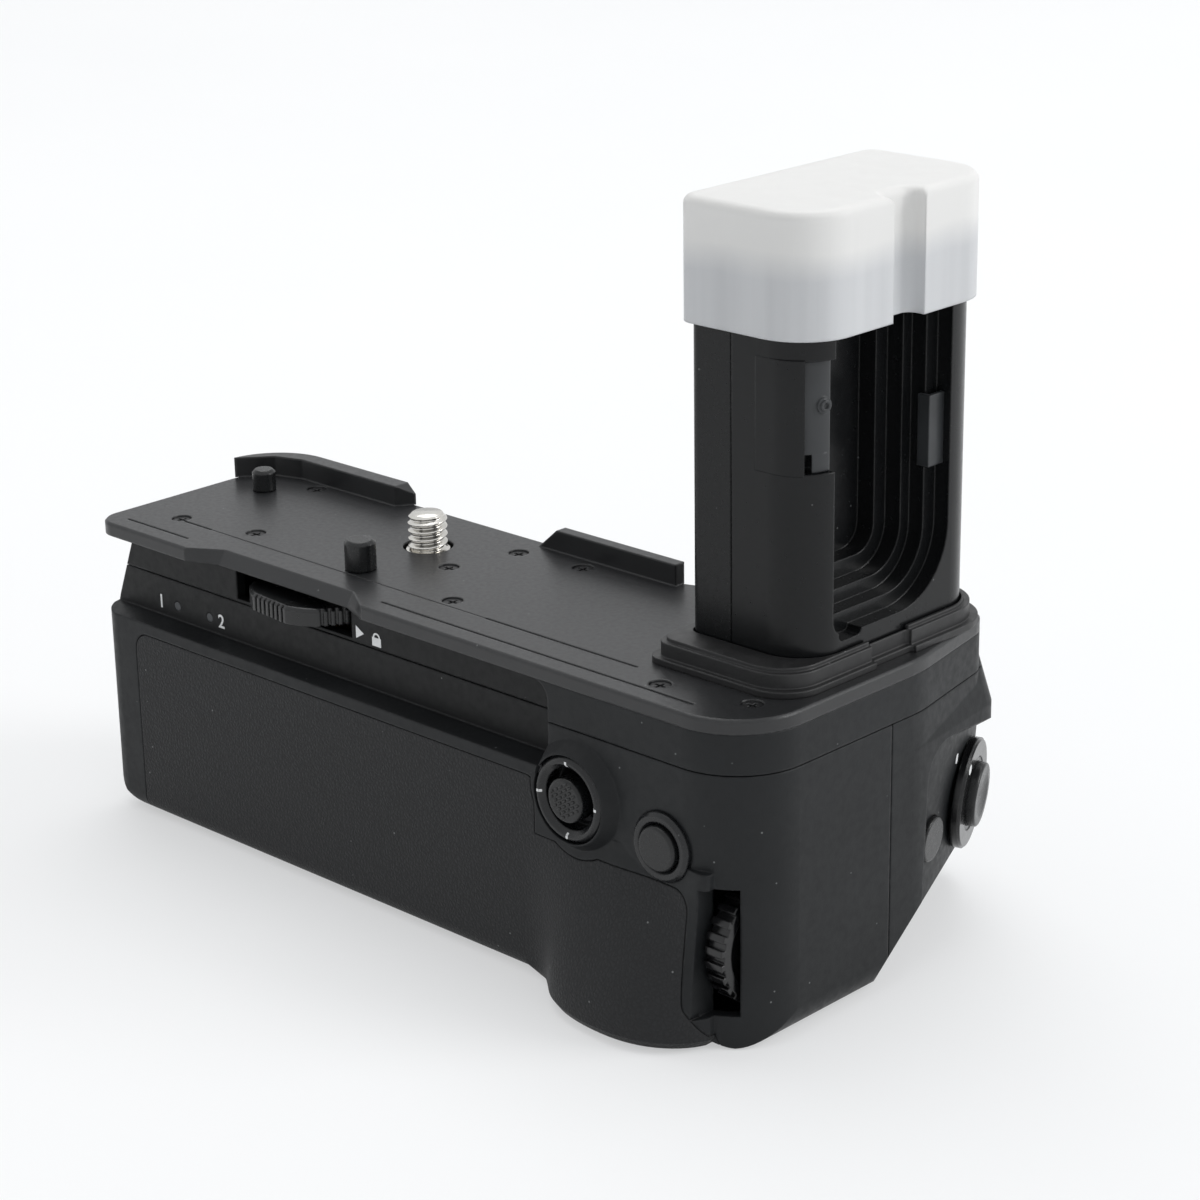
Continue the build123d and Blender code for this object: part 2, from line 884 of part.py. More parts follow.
# Seat plate that the camera sits on
with BuildPart() as seat_plate:
    extrude(outline(-plate_thickness), amount=plate_thickness)
    chamfer(seat_plate.faces().sort_by(Axis.Z)[-1].edges(), plate_edge)
    with BuildSketch():
        add(outline(0.0))
        with BuildLine():
            Polyline(
                (-seat_left - rim_start, rim_start), (-seat_left, rim_start),
                (-seat_left + rim_bend_in, rim_bend_up), (-seat_left + rim_flat_in, rim_inner),
                (-rim_end - rim_ramp, rim_inner), (-rim_end, seat_front + rim_start),
                (-seat_left - rim_start, seat_front + rim_start), close=True,
            )
        make_face(mode=Mode.INTERSECT)
    extrude(amount=rim_height)
    with BuildSketch():
        with BuildLine():
            Polyline((flange_left, flange_inner), (flange_right, flange_inner), (flange_right, seat_front),
                     (flange_left, seat_front), close=True)
        make_face()
    extrude(amount=rim_height)
    with BuildSketch(Plane.XZ.offset(-seat_front - rim_start)):
        with BuildLine():
            Polyline((-rim_end - rim_ramp, rim_height), (-rim_end, 0), (-rim_end, rim_height), close=True)
        make_face()
        with BuildLine():
            Polyline((flange_left, 0), (flange_left + rim_ramp, rim_height), (flange_left, rim_height),
                     close=True)
        make_face()
    extrude(amount=seat_front, mode=Mode.SUBTRACT)
    notch_levels = []
    for level, depth in ((0.0, notch_depth), (-plate_thickness, notch_depth_low)):
        with BuildSketch(Plane.XY.offset(level)) as notch:
            with BuildLine():
                Polyline((-notch_left, -seat_rear - fit_gap),
                         (-notch_left + notch_ramp, -seat_rear + depth),
                         (notch_right - notch_ramp, -seat_rear + depth),
                         (notch_right, -seat_rear - fit_gap), close=True)
            make_face()
        notch_levels.append(notch.sketch)
    loft(notch_levels, ruled=True, mode=Mode.SUBTRACT)
    for left, right, inward in grooves:
        with BuildSketch(Plane.XY.offset(-groove_depth)):
            with Locations(((left + right) / 2, -inward)):
                SlotOverall(right - left, groove_width)
        extrude(amount=groove_depth, mode=Mode.SUBTRACT)
    for left, right, inward in hairlines:
        with BuildSketch(Plane.XY.offset(-hairline_depth)):
            with Locations(((left + right) / 2, -inward)):
                Rectangle(right - left, hairline_width)
        extrude(amount=hairline_depth, mode=Mode.SUBTRACT)
    add(discs(Plane.XY, ((-plate_screw_seat, 0.0, plate_screw_head / 2 + fit_gap),
                         (-plate_thickness, -plate_screw_seat, plate_screw_shank / 2 + fit_gap)),
              plate_screws), mode=Mode.SUBTRACT)
    add(discs(Plane.XY.offset(-plate_thickness), ((-bush_boss, 0.0, bush_boss_radius),)))
    add(discs(Plane.XY.offset(-plate_thickness), ((-post_length, 0.0, bridge_post_diameter / 2),),
              bridge_posts))
    add(discs(Plane.XY, ((-screw_hole_depth, 0.0, screw_hole_diameter / 2),
                         (-plate_thickness - bush_boss, -screw_hole_depth, bush_diameter / 2 + hub_gap))),
        mode=Mode.SUBTRACT)
    for place, diameter in ((small_pin_at, small_pin_diameter), (large_pin_at, large_pin_diameter)):
        add(discs(Plane.XY, ((-pin_sunk - hub_gap, 0.0, diameter / 2 - pin_neck_in + hub_gap),), (place,)),
            mode=Mode.SUBTRACT)
    add(discs(Plane.XY.offset(-plate_thickness), ((0.0, axle_sunk, wheel_axle_diameter / 2 + hub_gap),),
              ((wheel_x, wheel_y),)), mode=Mode.SUBTRACT)
    extrude(stalk_outline(-plate_thickness, stalk_gap), amount=plate_thickness, mode=Mode.SUBTRACT)
export(seat_plate.part, "seat_plate")

# Upper frame: the skirt under the seat, with ribs and screw bosses
with BuildPart() as upper_frame:
    add(body)
    add(hollow, mode=Mode.SUBTRACT)
    add(below(-cover_depth), mode=Mode.SUBTRACT)
    for (x, y), reach in zip(plate_screws, plate_screw_ribs):
        if reach == 0:
            y_range = (-seat_rear + strip_depth + wall - fit_gap, seat_front - wall + fit_gap)
        elif reach > 0:
            y_range = (y, seat_front - wall + fit_gap)
        else:
            y_range = (-seat_rear + wall - fit_gap, y)
        add(box((x - rib_width / 2, x + rib_width / 2), y_range, (-rib_bottom, -plate_thickness)))
    add(discs(Plane.XY, ((-boss_bottom, -plate_thickness, plate_screw_boss / 2),), plate_screws))
    add(discs(Plane.XY, ((-boss_bottom, -plate_thickness, plate_screw_shank / 2 + hub_gap),), plate_screws),
        mode=Mode.SUBTRACT)
    add(box((-wheel_slot_left, wheel_slot_right),
            (-seat_rear - fit_gap, -seat_rear + strip_depth + wall + fit_gap),
            (-wheel_slot_bottom, -plate_thickness)), mode=Mode.SUBTRACT)
export(upper_frame.part, "upper_frame")


def rubber_region(grow=0.0):
    """Outline of the rear rubber panel seen from the rear, carried through the wall."""
    foot = -body_height + (rubber_seat_foot if grow > 0 else rubber_foot)
    slope = (rubber_right_low - rubber_right_mid) / (body_height - rubber_bend_low)
    low_right = rubber_right_mid - slope * (foot + rubber_bend_low)
    corners = (
        ((-rubber_left - grow, -rubber_top + grow), rubber_corner),
        ((rubber_neck + grow, -rubber_top + grow), rubber_neck_round),
        ((rubber_neck + grow, -rubber_swell_top + grow), fit_gap),
        ((rubber_right + grow, -rubber_swell_top + grow), rubber_corner),
        ((rubber_right_mid + grow, -rubber_bend_low), rubber_bend_round),
        ((low_right + grow, foot), fit_gap),
        ((-rubber_left - grow, foot), fit_gap),
    )
    with BuildPart() as region:
        with BuildSketch(Plane.XZ.offset(rubber_reach)):
            with BuildLine():
                FilletPolyline(*[point for point, _ in corners], radius=[size for _, size in corners],
                               close=True)
            make_face()
            with Locations((selector_x, -selector_z)):
                Circle(selector_base_radius + rubber_selector_margin - grow, mode=Mode.SUBTRACT)
        extrude(amount=overrun)
    return region.part


def front_region(grow=0.0):
    """Outline of the rubber on the nose, seen from the front, carried through the wall."""
    foot = -body_height + rubber_seat_foot - grow
    corners = (
        ((front_rubber_left - grow, -front_rubber_top + grow), rubber_corner),
        ((front_rubber_neck + grow, -front_rubber_top + grow), rubber_corner),
        ((front_rubber_neck + grow, -front_rubber_step + grow), rubber_corner),
        ((front_rubber_right + grow, -front_rubber_step + grow), rubber_corner),
        ((front_rubber_right + grow, foot), fit_gap),
        ((front_rubber_left - grow, foot), fit_gap),
    )
    with BuildPart() as region:
        with BuildSketch(Plane.XZ.offset(-front_rubber_rear + grow)):
            with BuildLine():
                FilletPolyline(*[point for point, _ in corners], radius=[size for _, size in corners],
                               close=True)
            make_face()
        extrude(amount=-overrun)
    return region.part


def rubber_seat(region):
    """The shallow recess that a rubber panel is glued into."""
    with BuildPart() as seat:
        add(region)
        add(body_skin, mode=Mode.SUBTRACT)
    return seat.part


def shutter_cutter():
    """Holes through the facet's wall for the release's collar and the function button."""
    with BuildPart() as holes:
        add(discs(facet_plane(), ((-collar_sunk, ring_proud, collar_neck_radius + fit_gap),)))
        add(discs(facet_plane(function_turn, -function_drop),
                  ((-collar_sunk, ring_proud, function_radius + running_gap),)))
    return holes.part


def tray_opening(gap=0.0):
    """Opening in the left end that the battery tray slides through, or the cap that fills it."""
    right = -end_cap_inner if gap > 0 else -opening_right
    return box((-seat_left - overrun, right), (-chamber_rear + fit_gap + gap, opening_front - gap),
               (-tray_low + gap, -opening_top - gap))


def shell_bottom_holes():
    """Sunk holes for the housing screws and the tripod bush."""
    with BuildPart() as holes:
        add(discs(Plane.XY.offset(-body_height),
                  ((0.0, shell_screw_seat, shell_screw_head / 2 + fit_gap),
                   (shell_screw_seat, wall, shell_screw_shank / 2 + fit_gap)), shell_screws))
        add(discs(Plane.XY.offset(-body_height), ((0.0, wall, tripod_bush_diameter / 2 + hub_gap),)))
    return holes.part


# Rear shell with the palm swell and the bump round the selector
with BuildPart() as rear_shell:
    add(body)
    with BuildSketch(rear_plane(selector_x, selector_z, -wall / 2)):
        Circle(selector_base_radius)
    extrude(amount=selector_rise + wall / 2, taper=selector_taper)
    add(strip_cutter(), mode=Mode.SUBTRACT)
    add(hollow, mode=Mode.SUBTRACT)
    add(box(whole_x, whole_y, (-cover_depth - seam_gap, overrun)), mode=Mode.SUBTRACT)
    add(box(whole_x, (seam_from_screw, body_height + overrun), whole_z), mode=Mode.SUBTRACT)
    add(rubber_seat(rubber_region(rubber_groove)), mode=Mode.SUBTRACT)
    add(tray_opening(), mode=Mode.SUBTRACT)
    add(shell_bottom_holes(), mode=Mode.SUBTRACT)
    add(discs(rear_plane(selector_x, selector_z),
              ((-bezel_sunk, overrun, bezel_radius + hub_gap),
               (-wall - selector_hole_reach, 0.0, selector_hole_radius))),
        mode=Mode.SUBTRACT)
    add(discs(rear_plane(thumb_x, thumb_z),
              ((-collar_seat, overrun, thumb_collar_radius + hub_gap),
               (-wall - fit_gap, 0.0, thumb_hole_radius))),
        mode=Mode.SUBTRACT)
    add(discs(rear_plane(lamp_places[0], lamp_level),
              ((-strip_depth - wall - fit_gap, 0.0, lamp_radius + hub_gap),),
              tuple((place - lamp_places[0], 0.0) for place in lamp_places)), mode=Mode.SUBTRACT)
    add(box((rear_dial_x - dial_width / 2 - dial_slot_gap, rear_dial_x + dial_width / 2 + dial_slot_gap),
            (-body_height, -rear_slot_inner), (-rear_slot_bottom, -rear_slot_top)), mode=Mode.SUBTRACT)
export(rear_shell.part, "rear_shell")

# Front shell with the nose and the facet
with BuildPart() as front_shell:
    add(body)
    add(hollow, mode=Mode.SUBTRACT)
    add(box(whole_x, whole_y, (-cover_depth - seam_gap, overrun)), mode=Mode.SUBTRACT)
    add(box(whole_x, (-body_height - overrun, seam_from_screw + seam_gap), whole_z), mode=Mode.SUBTRACT)
    add(tray_opening(), mode=Mode.SUBTRACT)
    add(shell_bottom_holes(), mode=Mode.SUBTRACT)
    add(shutter_cutter(), mode=Mode.SUBTRACT)
    add(box((front_dial_x - dial_width / 2 - dial_slot_gap, front_dial_x + dial_width / 2 + dial_slot_gap),
            (body_nose_front - front_slot_depth, body_height + overrun),
            (-front_dial_z - front_slot_half, -front_dial_z + front_slot_half)), mode=Mode.SUBTRACT)
    add(rubber_seat(front_region(rubber_groove)), mode=Mode.SUBTRACT)
export(front_shell.part, "front_shell")

# Rubber panels
with BuildPart() as rear_rubber:
    add(body)
    add(rubber_region(), mode=Mode.INTERSECT)
    add(body_skin, mode=Mode.SUBTRACT)
export(rear_rubber.part, "rear_rubber")

with BuildPart() as front_rubber:
    add(body)
    add(front_region(), mode=Mode.INTERSECT)
    add(body_skin, mode=Mode.SUBTRACT)
export(front_rubber.part, "front_rubber")


def cross_recess(places, plane):
    """Cross recesses for small screws at places on a plane, cut downward."""
    with BuildPart() as recess:
        with BuildSketch(plane.offset(-screw_recess_depth)):
            with Locations(*places):
                Rectangle(screw_recess_length, screw_recess_width)
                Rectangle(screw_recess_width, screw_recess_length)
        extrude(amount=screw_recess_depth)
    return recess.part


# Fasteners
head_plane = Plane.XY.offset(-plate_screw_sunk)
with BuildPart() as plate_screw_set:
    add(discs(head_plane, ((-plate_screw_head_height, 0.0, plate_screw_head / 2),
                           (-plate_screw_length, -plate_screw_head_height, plate_screw_shank / 2)),
              plate_screws))
    add(cross_recess(plate_screws, head_plane), mode=Mode.SUBTRACT)
export(plate_screw_set.part, "plate_screws")

foot_plane = Plane(origin=(0, 0, -body_height + shell_screw_sunk), x_dir=(1, 0, 0), z_dir=(0, 0, -1))
shell_screw_places = tuple((x, -y) for x, y in shell_screws)
with BuildPart() as shell_screw_set:
    add(discs(foot_plane, ((-shell_screw_head_height, 0.0, shell_screw_head / 2),
                           (-shell_screw_head_height - shell_screw_length, -shell_screw_head_height,
                            shell_screw_shank / 2)), shell_screw_places))
    add(cross_recess(shell_screw_places, foot_plane), mode=Mode.SUBTRACT)
export(shell_screw_set.part, "shell_screws")

# Locating pins
locating_pins = (
    ("small_locating_pin", small_pin_at, small_pin_diameter, small_pin_height),
    ("large_locating_pin", large_pin_at, large_pin_diameter, large_pin_height),
)
for name, place, diameter, height in locating_pins:
    with BuildPart() as locating_pin:
        add(discs(Plane.XY, ((-pin_sunk, pin_neck_rise, diameter / 2 - pin_neck_in),
                             (pin_neck_rise, height, diameter / 2)), (place,)))
        chamfer(locating_pin.edges().sort_by(Axis.Z)[-1], pin_chamfer)
    export(locating_pin.part, name)

# Mounting screw and its bush
with BuildPart() as screw_bush:
    add(discs(Plane.XY, ((-bush_bottom, -screw_hole_depth, bush_diameter / 2),)))
    add(discs(Plane.XY, ((-bush_bottom, -screw_hole_depth, screw_shaft_diameter / 2 + running_gap),)),
        mode=Mode.SUBTRACT)
export(screw_bush.part, "screw_bush")

screw_foot = -bridge_top - bridge_thickness
screw_flange_bottom = -screw_flange_top - screw_flange_thickness
with BuildPart() as mounting_screw:
    add(discs(Plane.XY, ((-screw_flange_top, -screw_thread_start, screw_diameter / 2 - screw_thread_relief),
                         (-screw_thread_start, screw_height, screw_diameter / 2))))
    chamfer(mounting_screw.edges().sort_by(Axis.Z)[-1], screw_chamfer)
    add(discs(Plane.XY, ((screw_flange_bottom, -screw_flange_top, screw_flange_diameter / 2),
                         (-bush_bottom, screw_flange_bottom, screw_shaft_diameter / 2),
                         (-bridge_top, -bush_bottom, screw_neck_diameter / 2),
                         (screw_foot, -bridge_top, screw_tail_diameter / 2))))
export(mounting_screw.part, "mounting_screw")


def gear_outline(height, teeth, first_angle):
    """Involute gear outline with one tooth centred on an angle in degrees."""
    pitch_radius = gear_module * teeth / 2
    base_radius = pitch_radius * math.cos(math.radians(gear_pressure))
    root = pitch_radius - gear_module * gear_root_share
    tip = pitch_radius + gear_module * gear_tip_share
    pressure = math.radians(gear_pressure)
    half_at_pitch = (math.pi * gear_module / 2 - gear_backlash / 2) / (2 * pitch_radius)
    flank = []
    for step in range(gear_flank_points):
        start = max(root, base_radius)
        radius = start + (tip - start) * step / (gear_flank_points - 1)
        angle = math.acos(min(1.0, base_radius / radius))
        half = half_at_pitch + math.tan(pressure) - pressure - (math.tan(angle) - angle)
        flank.append((radius, half))
    if root < base_radius:
        flank.insert(0, (root, flank[0][1]))
    points = []
    for tooth in range(teeth):
        middle = math.radians(first_angle) + 2 * math.pi * tooth / teeth
        for radius, half in flank:
            points.append((radius * math.cos(middle - half), radius * math.sin(middle - half)))
        for radius, half in reversed(flank):
            points.append((radius * math.cos(middle + half), radius * math.sin(middle + half)))
    with BuildSketch(Plane.XY.offset(height)) as shape:
        with BuildLine():
            Polyline(*points, close=True)
        make_face()
    return shape.sketch


gear_low = -gear_top - gear_thickness
with BuildPart() as screw_gear:
    meshing_angle = wheel_bearing + 180 + 180 / screw_teeth
    extrude(gear_outline(gear_low, screw_teeth, meshing_angle), amount=gear_thickness)
    add(discs(Plane.XY, ((gear_low, -gear_top, screw_neck_diameter / 2 + hub_gap),)), mode=Mode.SUBTRACT)
    with BuildSketch(Plane.XY.offset(gear_low)):
        with PolarLocations(gear_window_at, gear_windows):
            Circle(gear_window_radius)
    extrude(amount=gear_thickness, mode=Mode.SUBTRACT)
export(screw_gear.part, "screw_gear")

with BuildPart() as wheel_gear:
    extrude(gear_outline(gear_low, wheel_teeth, wheel_bearing), amount=gear_thickness)
    add(discs(Plane.XY, ((gear_low, -gear_top, wheel_bore_diameter / 2),)), mode=Mode.SUBTRACT)
wheel_gear_placed = wheel_gear.part.moved(Location((wheel_x, wheel_y, 0)))
export(wheel_gear_placed, "wheel_gear")

with BuildPart() as attachment_wheel:
    with BuildSketch(Plane.XY.offset(-wheel_top - wheel_thickness)):
        RegularPolygon(wheel_flat_radius, wheel_flats, major_radius=False, rotation=wheel_corner_angle)
        Circle(wheel_radius, mode=Mode.INTERSECT)
    extrude(amount=wheel_thickness)
    chamfer(attachment_wheel.faces().sort_by(Axis.Z)[-1].edges(), wheel_edge)
    with BuildSketch(Plane.XY.offset(-wheel_top - wheel_thickness)):
        flat_angle = wheel_corner_angle + 180 / wheel_flats
        with PolarLocations(wheel_flat_radius, wheel_flats, start_angle=flat_angle):
            with GridLocations(wheel_rib_pitch, wheel_rib_pitch, 1, wheel_ribs):
                Rectangle(wheel_rib_depth * 2, wheel_rib_groove)
    extrude(amount=wheel_thickness, mode=Mode.SUBTRACT)
    add(discs(Plane.XY, ((-gear_top, -wheel_top - wheel_thickness, wheel_hub_diameter / 2),)))
    add(discs(Plane.XY, ((-gear_top, -wheel_top, wheel_bore_diameter / 2),)), mode=Mode.SUBTRACT)
attachment_wheel_placed = attachment_wheel.part.moved(Location((wheel_x, wheel_y, 0)))
export(attachment_wheel_placed, "attachment_wheel")

with BuildPart() as wheel_axle:
    add(discs(Plane.XY, ((screw_foot, -plate_thickness + axle_sunk, wheel_axle_diameter / 2),),
              ((wheel_x, wheel_y),)))
export(wheel_axle.part, "wheel_axle")

with BuildPart() as gear_bridge:
    with BuildSketch(Plane.XY.offset(screw_foot)):
        with BuildLine():
            Polyline(*bridge_posts, close=True)
        make_face()
        offset(amount=bridge_margin)
        with Locations((0, 0)):
            Circle(screw_tail_diameter / 2 + running_gap, mode=Mode.SUBTRACT)
        with Locations((wheel_x, wheel_y)):
            Circle(wheel_axle_diameter / 2 + bridge_margin)
            Circle(wheel_axle_diameter / 2 + hub_gap, mode=Mode.SUBTRACT)
    extrude(amount=bridge_thickness)
export(gear_bridge.part, "gear_bridge")

# Stalk: a ducted inner shell and an outer shell with the pocket for the camera's own battery cover
stalk_shelf = stalk_height - head_height
beside = (-body_height, body_height)
foot = box((stalk_left - foot_margin, foot_right), (-stalk_rear - foot_margin, foot_front),
           (-plate_thickness - foot_thickness, -plate_thickness))

with BuildPart() as stalk_inner_shell:
    extrude(stalk_outline(-plate_thickness), amount=plate_thickness + stalk_shelf)
    extrude(stalk_outline(-stalk_root, -stalk_root_inset), amount=stalk_root - plate_thickness)
    add(foot)
    add(box((stalk_left + stalk_wall, seat_right), (-stalk_rear + stalk_wall, stalk_front - stalk_wall),
            (-stalk_root, stalk_shelf - stalk_wall)), mode=Mode.SUBTRACT)
    add(box((stalk_seam - seam_gap / 2, seat_right + overrun), beside, (-body_height, seat_right)),
        mode=Mode.SUBTRACT)
export(stalk_inner_shell.part, "stalk_inner_shell")


def pocket_outline(depth, front, bottom):
    """Outline of the pocket at a depth, drawn in from the front and the bottom."""
    low = pocket_bottom + bottom
    ahead = pocket_front - front
    with BuildSketch(Plane.YZ.offset(stalk_right - depth)) as shape:
        with BuildLine():
            FilletPolyline(
                (-pocket_rear, pocket_top), (-pocket_rear, low), (ahead, low), (ahead, pocket_top),
                radius=[fit_gap, pocket_round_rear, pocket_round_front - front, fit_gap],
                close=True,
            )
        make_face()
        if front == 0:
            with Locations((-pocket_rear + pocket_foot_width / 2 + pocket_round_rear / 2, low)):
                SlotOverall(pocket_foot_width, pocket_foot_drop * 2)
    return shape.sketch


def corner_band(outer, inner, z_range):
    """Band that follows the stalk's rounded rear corner, between two offsets of its outline."""
    with BuildPart() as band:
        extrude(stalk_outline(z_range[0], outer), amount=z_range[1] - z_range[0])
        extrude(stalk_outline(z_range[0], inner), amount=z_range[1] - z_range[0], mode=Mode.SUBTRACT)
        add(box((stalk_right - window_reach, seat_right + overrun), (-overrun, -pocket_rear), z_range),
            mode=Mode.INTERSECT)
    return band.part


with BuildPart() as stalk_outer_shell:
    extrude(stalk_outline(-plate_thickness), amount=plate_thickness + stalk_shelf)
    extrude(stalk_outline(-stalk_root, -stalk_root_inset), amount=stalk_root - plate_thickness)
    add(foot)
    add(box((-seat_right, stalk_seam + seam_gap / 2), beside, (-body_height, seat_right)), mode=Mode.SUBTRACT)
    add(box((stalk_seam + seam_gap / 2, stalk_seam + seam_gap / 2 + stalk_duct),
            (-stalk_rear + stalk_wall, stalk_front - stalk_wall), (-stalk_root, stalk_shelf - stalk_wall)),
        mode=Mode.SUBTRACT)
    starts = (0.0,) + pocket_step_depths
    ends = pocket_step_depths + (pocket_depth,)
    fronts = (0.0,) + pocket_step_front
    bottoms = (0.0,) + pocket_step_bottom
    for start, end, front, bottom in zip(starts, ends, fronts, bottoms):
        extrude(pocket_outline(end, front, bottom), amount=end - start, mode=Mode.SUBTRACT)
    add(corner_band(fit_gap, -window_depth, (window_bottom, window_top)), mode=Mode.SUBTRACT)
export(stalk_outer_shell.part, "stalk_outer_shell")

with BuildPart() as pocket_clip_rear:
    add(corner_band(-clip_gap, -clip_gap - clip_thickness, (window_bottom + clip_gap, window_top - clip_gap)))
    corner_middle = (stalk_right - stalk_large_round, -stalk_rear + stalk_large_round, clip_boss_height)
    corner_plane = Plane(origin=corner_middle, x_dir=(1, 1, 0), z_dir=(1, -1, 0))
    with BuildSketch(corner_plane.offset(stalk_large_round - clip_gap - clip_thickness)):
        Circle(clip_boss_diameter / 2)
    extrude(amount=clip_thickness + clip_gap)
    add(discs(Plane.YZ.offset(stalk_right - window_reach), ((0.0, clip_foot, clip_foot),),
              ((-stalk_rear + clip_foot, window_bottom + clip_foot_rise),)))
export(pocket_clip_rear.part, "pocket_clip_rear")

with BuildPart() as pocket_clip_front:
    add(box((stalk_right - front_clip_sunk - clip_thickness, stalk_right - front_clip_sunk),
            (pocket_front - front_clip_width, pocket_front), (front_clip_bottom, front_clip_top)))
    add(box((stalk_right - front_clip_sunk - clip_thickness - front_clip_lip,
             stalk_right - front_clip_sunk - clip_thickness),
            (pocket_front - front_clip_width, pocket_front - front_clip_width + clip_thickness),
            (front_clip_bottom, front_clip_top)))
export(pocket_clip_front.part, "pocket_clip_front")

# Head with the contact slots, its terminals and the board that feeds them
head_slot_places = tuple(
    (stalk_left + head_slot_start + head_slot_length / 2,
     (stalk_front - stalk_rear) / 2 + (index - (head_slots - 1) / 2) * head_slot_pitch)
    for index in range(head_slots)
)
with BuildPart() as stalk_head:
    extrude(stalk_outline(stalk_shelf, -head_inset), amount=head_height)
    with BuildSketch(Plane.XY.offset(stalk_shelf)):
        with Locations((stalk_right, -stalk_rear + head_waist_start + head_waist_length / 2)):
            RectangleRounded(head_waist_depth * 2, head_waist_length, head_waist_round)
    extrude(amount=head_height, mode=Mode.SUBTRACT)
    with BuildSketch(Plane.XY.offset(stalk_height - terminal_height)):
        with Locations(*head_slot_places):
            Rectangle(head_slot_length, head_slot_width)
    extrude(amount=terminal_height, mode=Mode.SUBTRACT)
export(stalk_head.part, "stalk_head")

with BuildPart() as stalk_terminals:
    with BuildSketch(Plane.XY.offset(stalk_height - terminal_height)):
        with Locations(*head_slot_places):
            Rectangle(head_slot_length, terminal_thickness)
    extrude(amount=terminal_height - terminal_sunk)
export(stalk_terminals.part, "stalk_terminals")

with BuildPart() as stalk_board:
    add(box((stalk_left + stalk_wall, stalk_left + stalk_wall + stalk_board_thickness),
            (-stalk_rear + stalk_board_margin, stalk_front - stalk_board_margin),
            (-stalk_root, stalk_shelf - stalk_wall)))
    for y, z, width, height in stalk_chips:
        add(box((stalk_left + stalk_wall + stalk_board_thickness,
                 stalk_left + stalk_wall + stalk_board_thickness + chip_height),
                (y - width / 2, y + width / 2), (z - height / 2, z + height / 2)))
export(stalk_board.part, "stalk_board")


def seal_outline(height, grow):
    """Outline of the seal round the stalk's foot, waisted on its outer side."""
    with BuildSketch(Plane.XY.offset(height)) as shape:
        with BuildLine():
            FilletPolyline(
                (stalk_left - gasket_left_margin - grow, -stalk_rear - gasket_rear_margin - grow),
                (stalk_right + gasket_right_margin + grow, -stalk_rear - gasket_rear_margin - grow),
                (stalk_right + gasket_right_margin + grow, stalk_front + gasket_front_margin + grow),
                (stalk_left - gasket_left_margin - grow, stalk_front + gasket_front_margin + grow),
                radius=[gasket_round_left, gasket_round, gasket_round_front, gasket_round_left],
                close=True,
            )
        make_face()
        waist_middle = gasket_waist_rear + gasket_waist_length / 2
        with Locations((stalk_right + gasket_right_margin + grow, waist_middle)):
            RectangleRounded(gasket_waist_depth * 2, gasket_waist_length, gasket_waist_depth - fit_gap,
                             mode=Mode.SUBTRACT)
    return shape.sketch


with BuildPart() as stalk_seal:
    extrude(seal_outline(0.0, gasket_step), amount=gasket_step_height)
    extrude(seal_outline(0.0, 0.0), amount=gasket_height - gasket_edge)
    extrude(seal_outline(0.0, -gasket_edge), amount=gasket_height)
    extrude(stalk_outline(0.0, gasket_gap), amount=gasket_height, mode=Mode.SUBTRACT)
export(stalk_seal.part, "stalk_seal")


def cap_outline(height, grow, waist_grow):
    """Outline of the terminal cap, waisted where it dips into the pocket."""
    with BuildSketch(Plane.XY.offset(height)) as shape:
        add(stalk_outline(height, grow))
        with Locations((stalk_right + cap_gap + cap_wall, cap_waist_y)):
            RectangleRounded((cap_waist_depth + waist_grow) * 2, cap_waist_width + waist_grow * 2,
                             cap_waist_round + waist_grow, mode=Mode.SUBTRACT)
    return shape.sketch


with BuildPart() as terminal_cap:
    extrude(cap_outline(cap_bottom, cap_gap + cap_wall, 0.0), amount=cap_top - cap_bottom)
    fillet(terminal_cap.faces().sort_by(Axis.Z)[-1].edges(), cap_edge)
    extrude(cap_outline(cap_bottom, cap_gap, cap_wall), amount=cap_top - cap_wall - cap_bottom,
            mode=Mode.SUBTRACT)
    for side in (-1, 1):
        rib_y = (stalk_front - stalk_rear) / 2 + side * ((stalk_length / 2) - cap_rib_inset)
        add(box((stalk_left + cap_rib_inset, stalk_left + cap_rib_inset + cap_rib_length),
                (rib_y - cap_rib_width / 2, rib_y + cap_rib_width / 2),
                (stalk_height + fit_gap, cap_top - cap_wall)))
export(terminal_cap.part, "terminal_cap")

# Multi selector, from the base on its board to the cap
back_level = -board_front_depth
pivot_plane = rear_plane(selector_x, selector_z, -selector_pivot)
selector_middle = Vector(selector_x, -seat_rear + selector_pivot, -selector_z)


def pin_along_x(start, end, radius):
    """Pair of pins or holes along X, mirrored about the selector's pivot."""
    with BuildPart() as pins:
        for side in (-1, 1):
            root = selector_middle + Vector(side * start, 0, 0)
            with BuildSketch(Plane(origin=root, z_dir=(side, 0, 0))):
                Circle(radius)
            extrude(amount=end - start)
    return pins.part


def pin_along_z(start, end, radius):
    """Pair of pins or holes along Z, mirrored about the selector's pivot."""
    with BuildPart() as pins:
        for side in (-1, 1):
            root = selector_middle + Vector(0, 0, side * start)
            with BuildSketch(Plane(origin=root, z_dir=(0, 0, side))):
                Circle(radius)
            extrude(amount=end - start)
    return pins.part


with BuildPart() as selector_bezel:
    add(discs(rear_plane(selector_x, selector_z), ((-bezel_sunk, bezel_proud, bezel_radius),)))
    add(discs(rear_plane(selector_x, selector_z), ((-bezel_sunk, bezel_proud, bezel_mouth_radius),)),
        mode=Mode.SUBTRACT)
    chamfer(selector_bezel.edges().filter_by(GeomType.CIRCLE).group_by(Axis.Y)[0], bezel_flare)
export(selector_bezel.part, "selector_bezel")

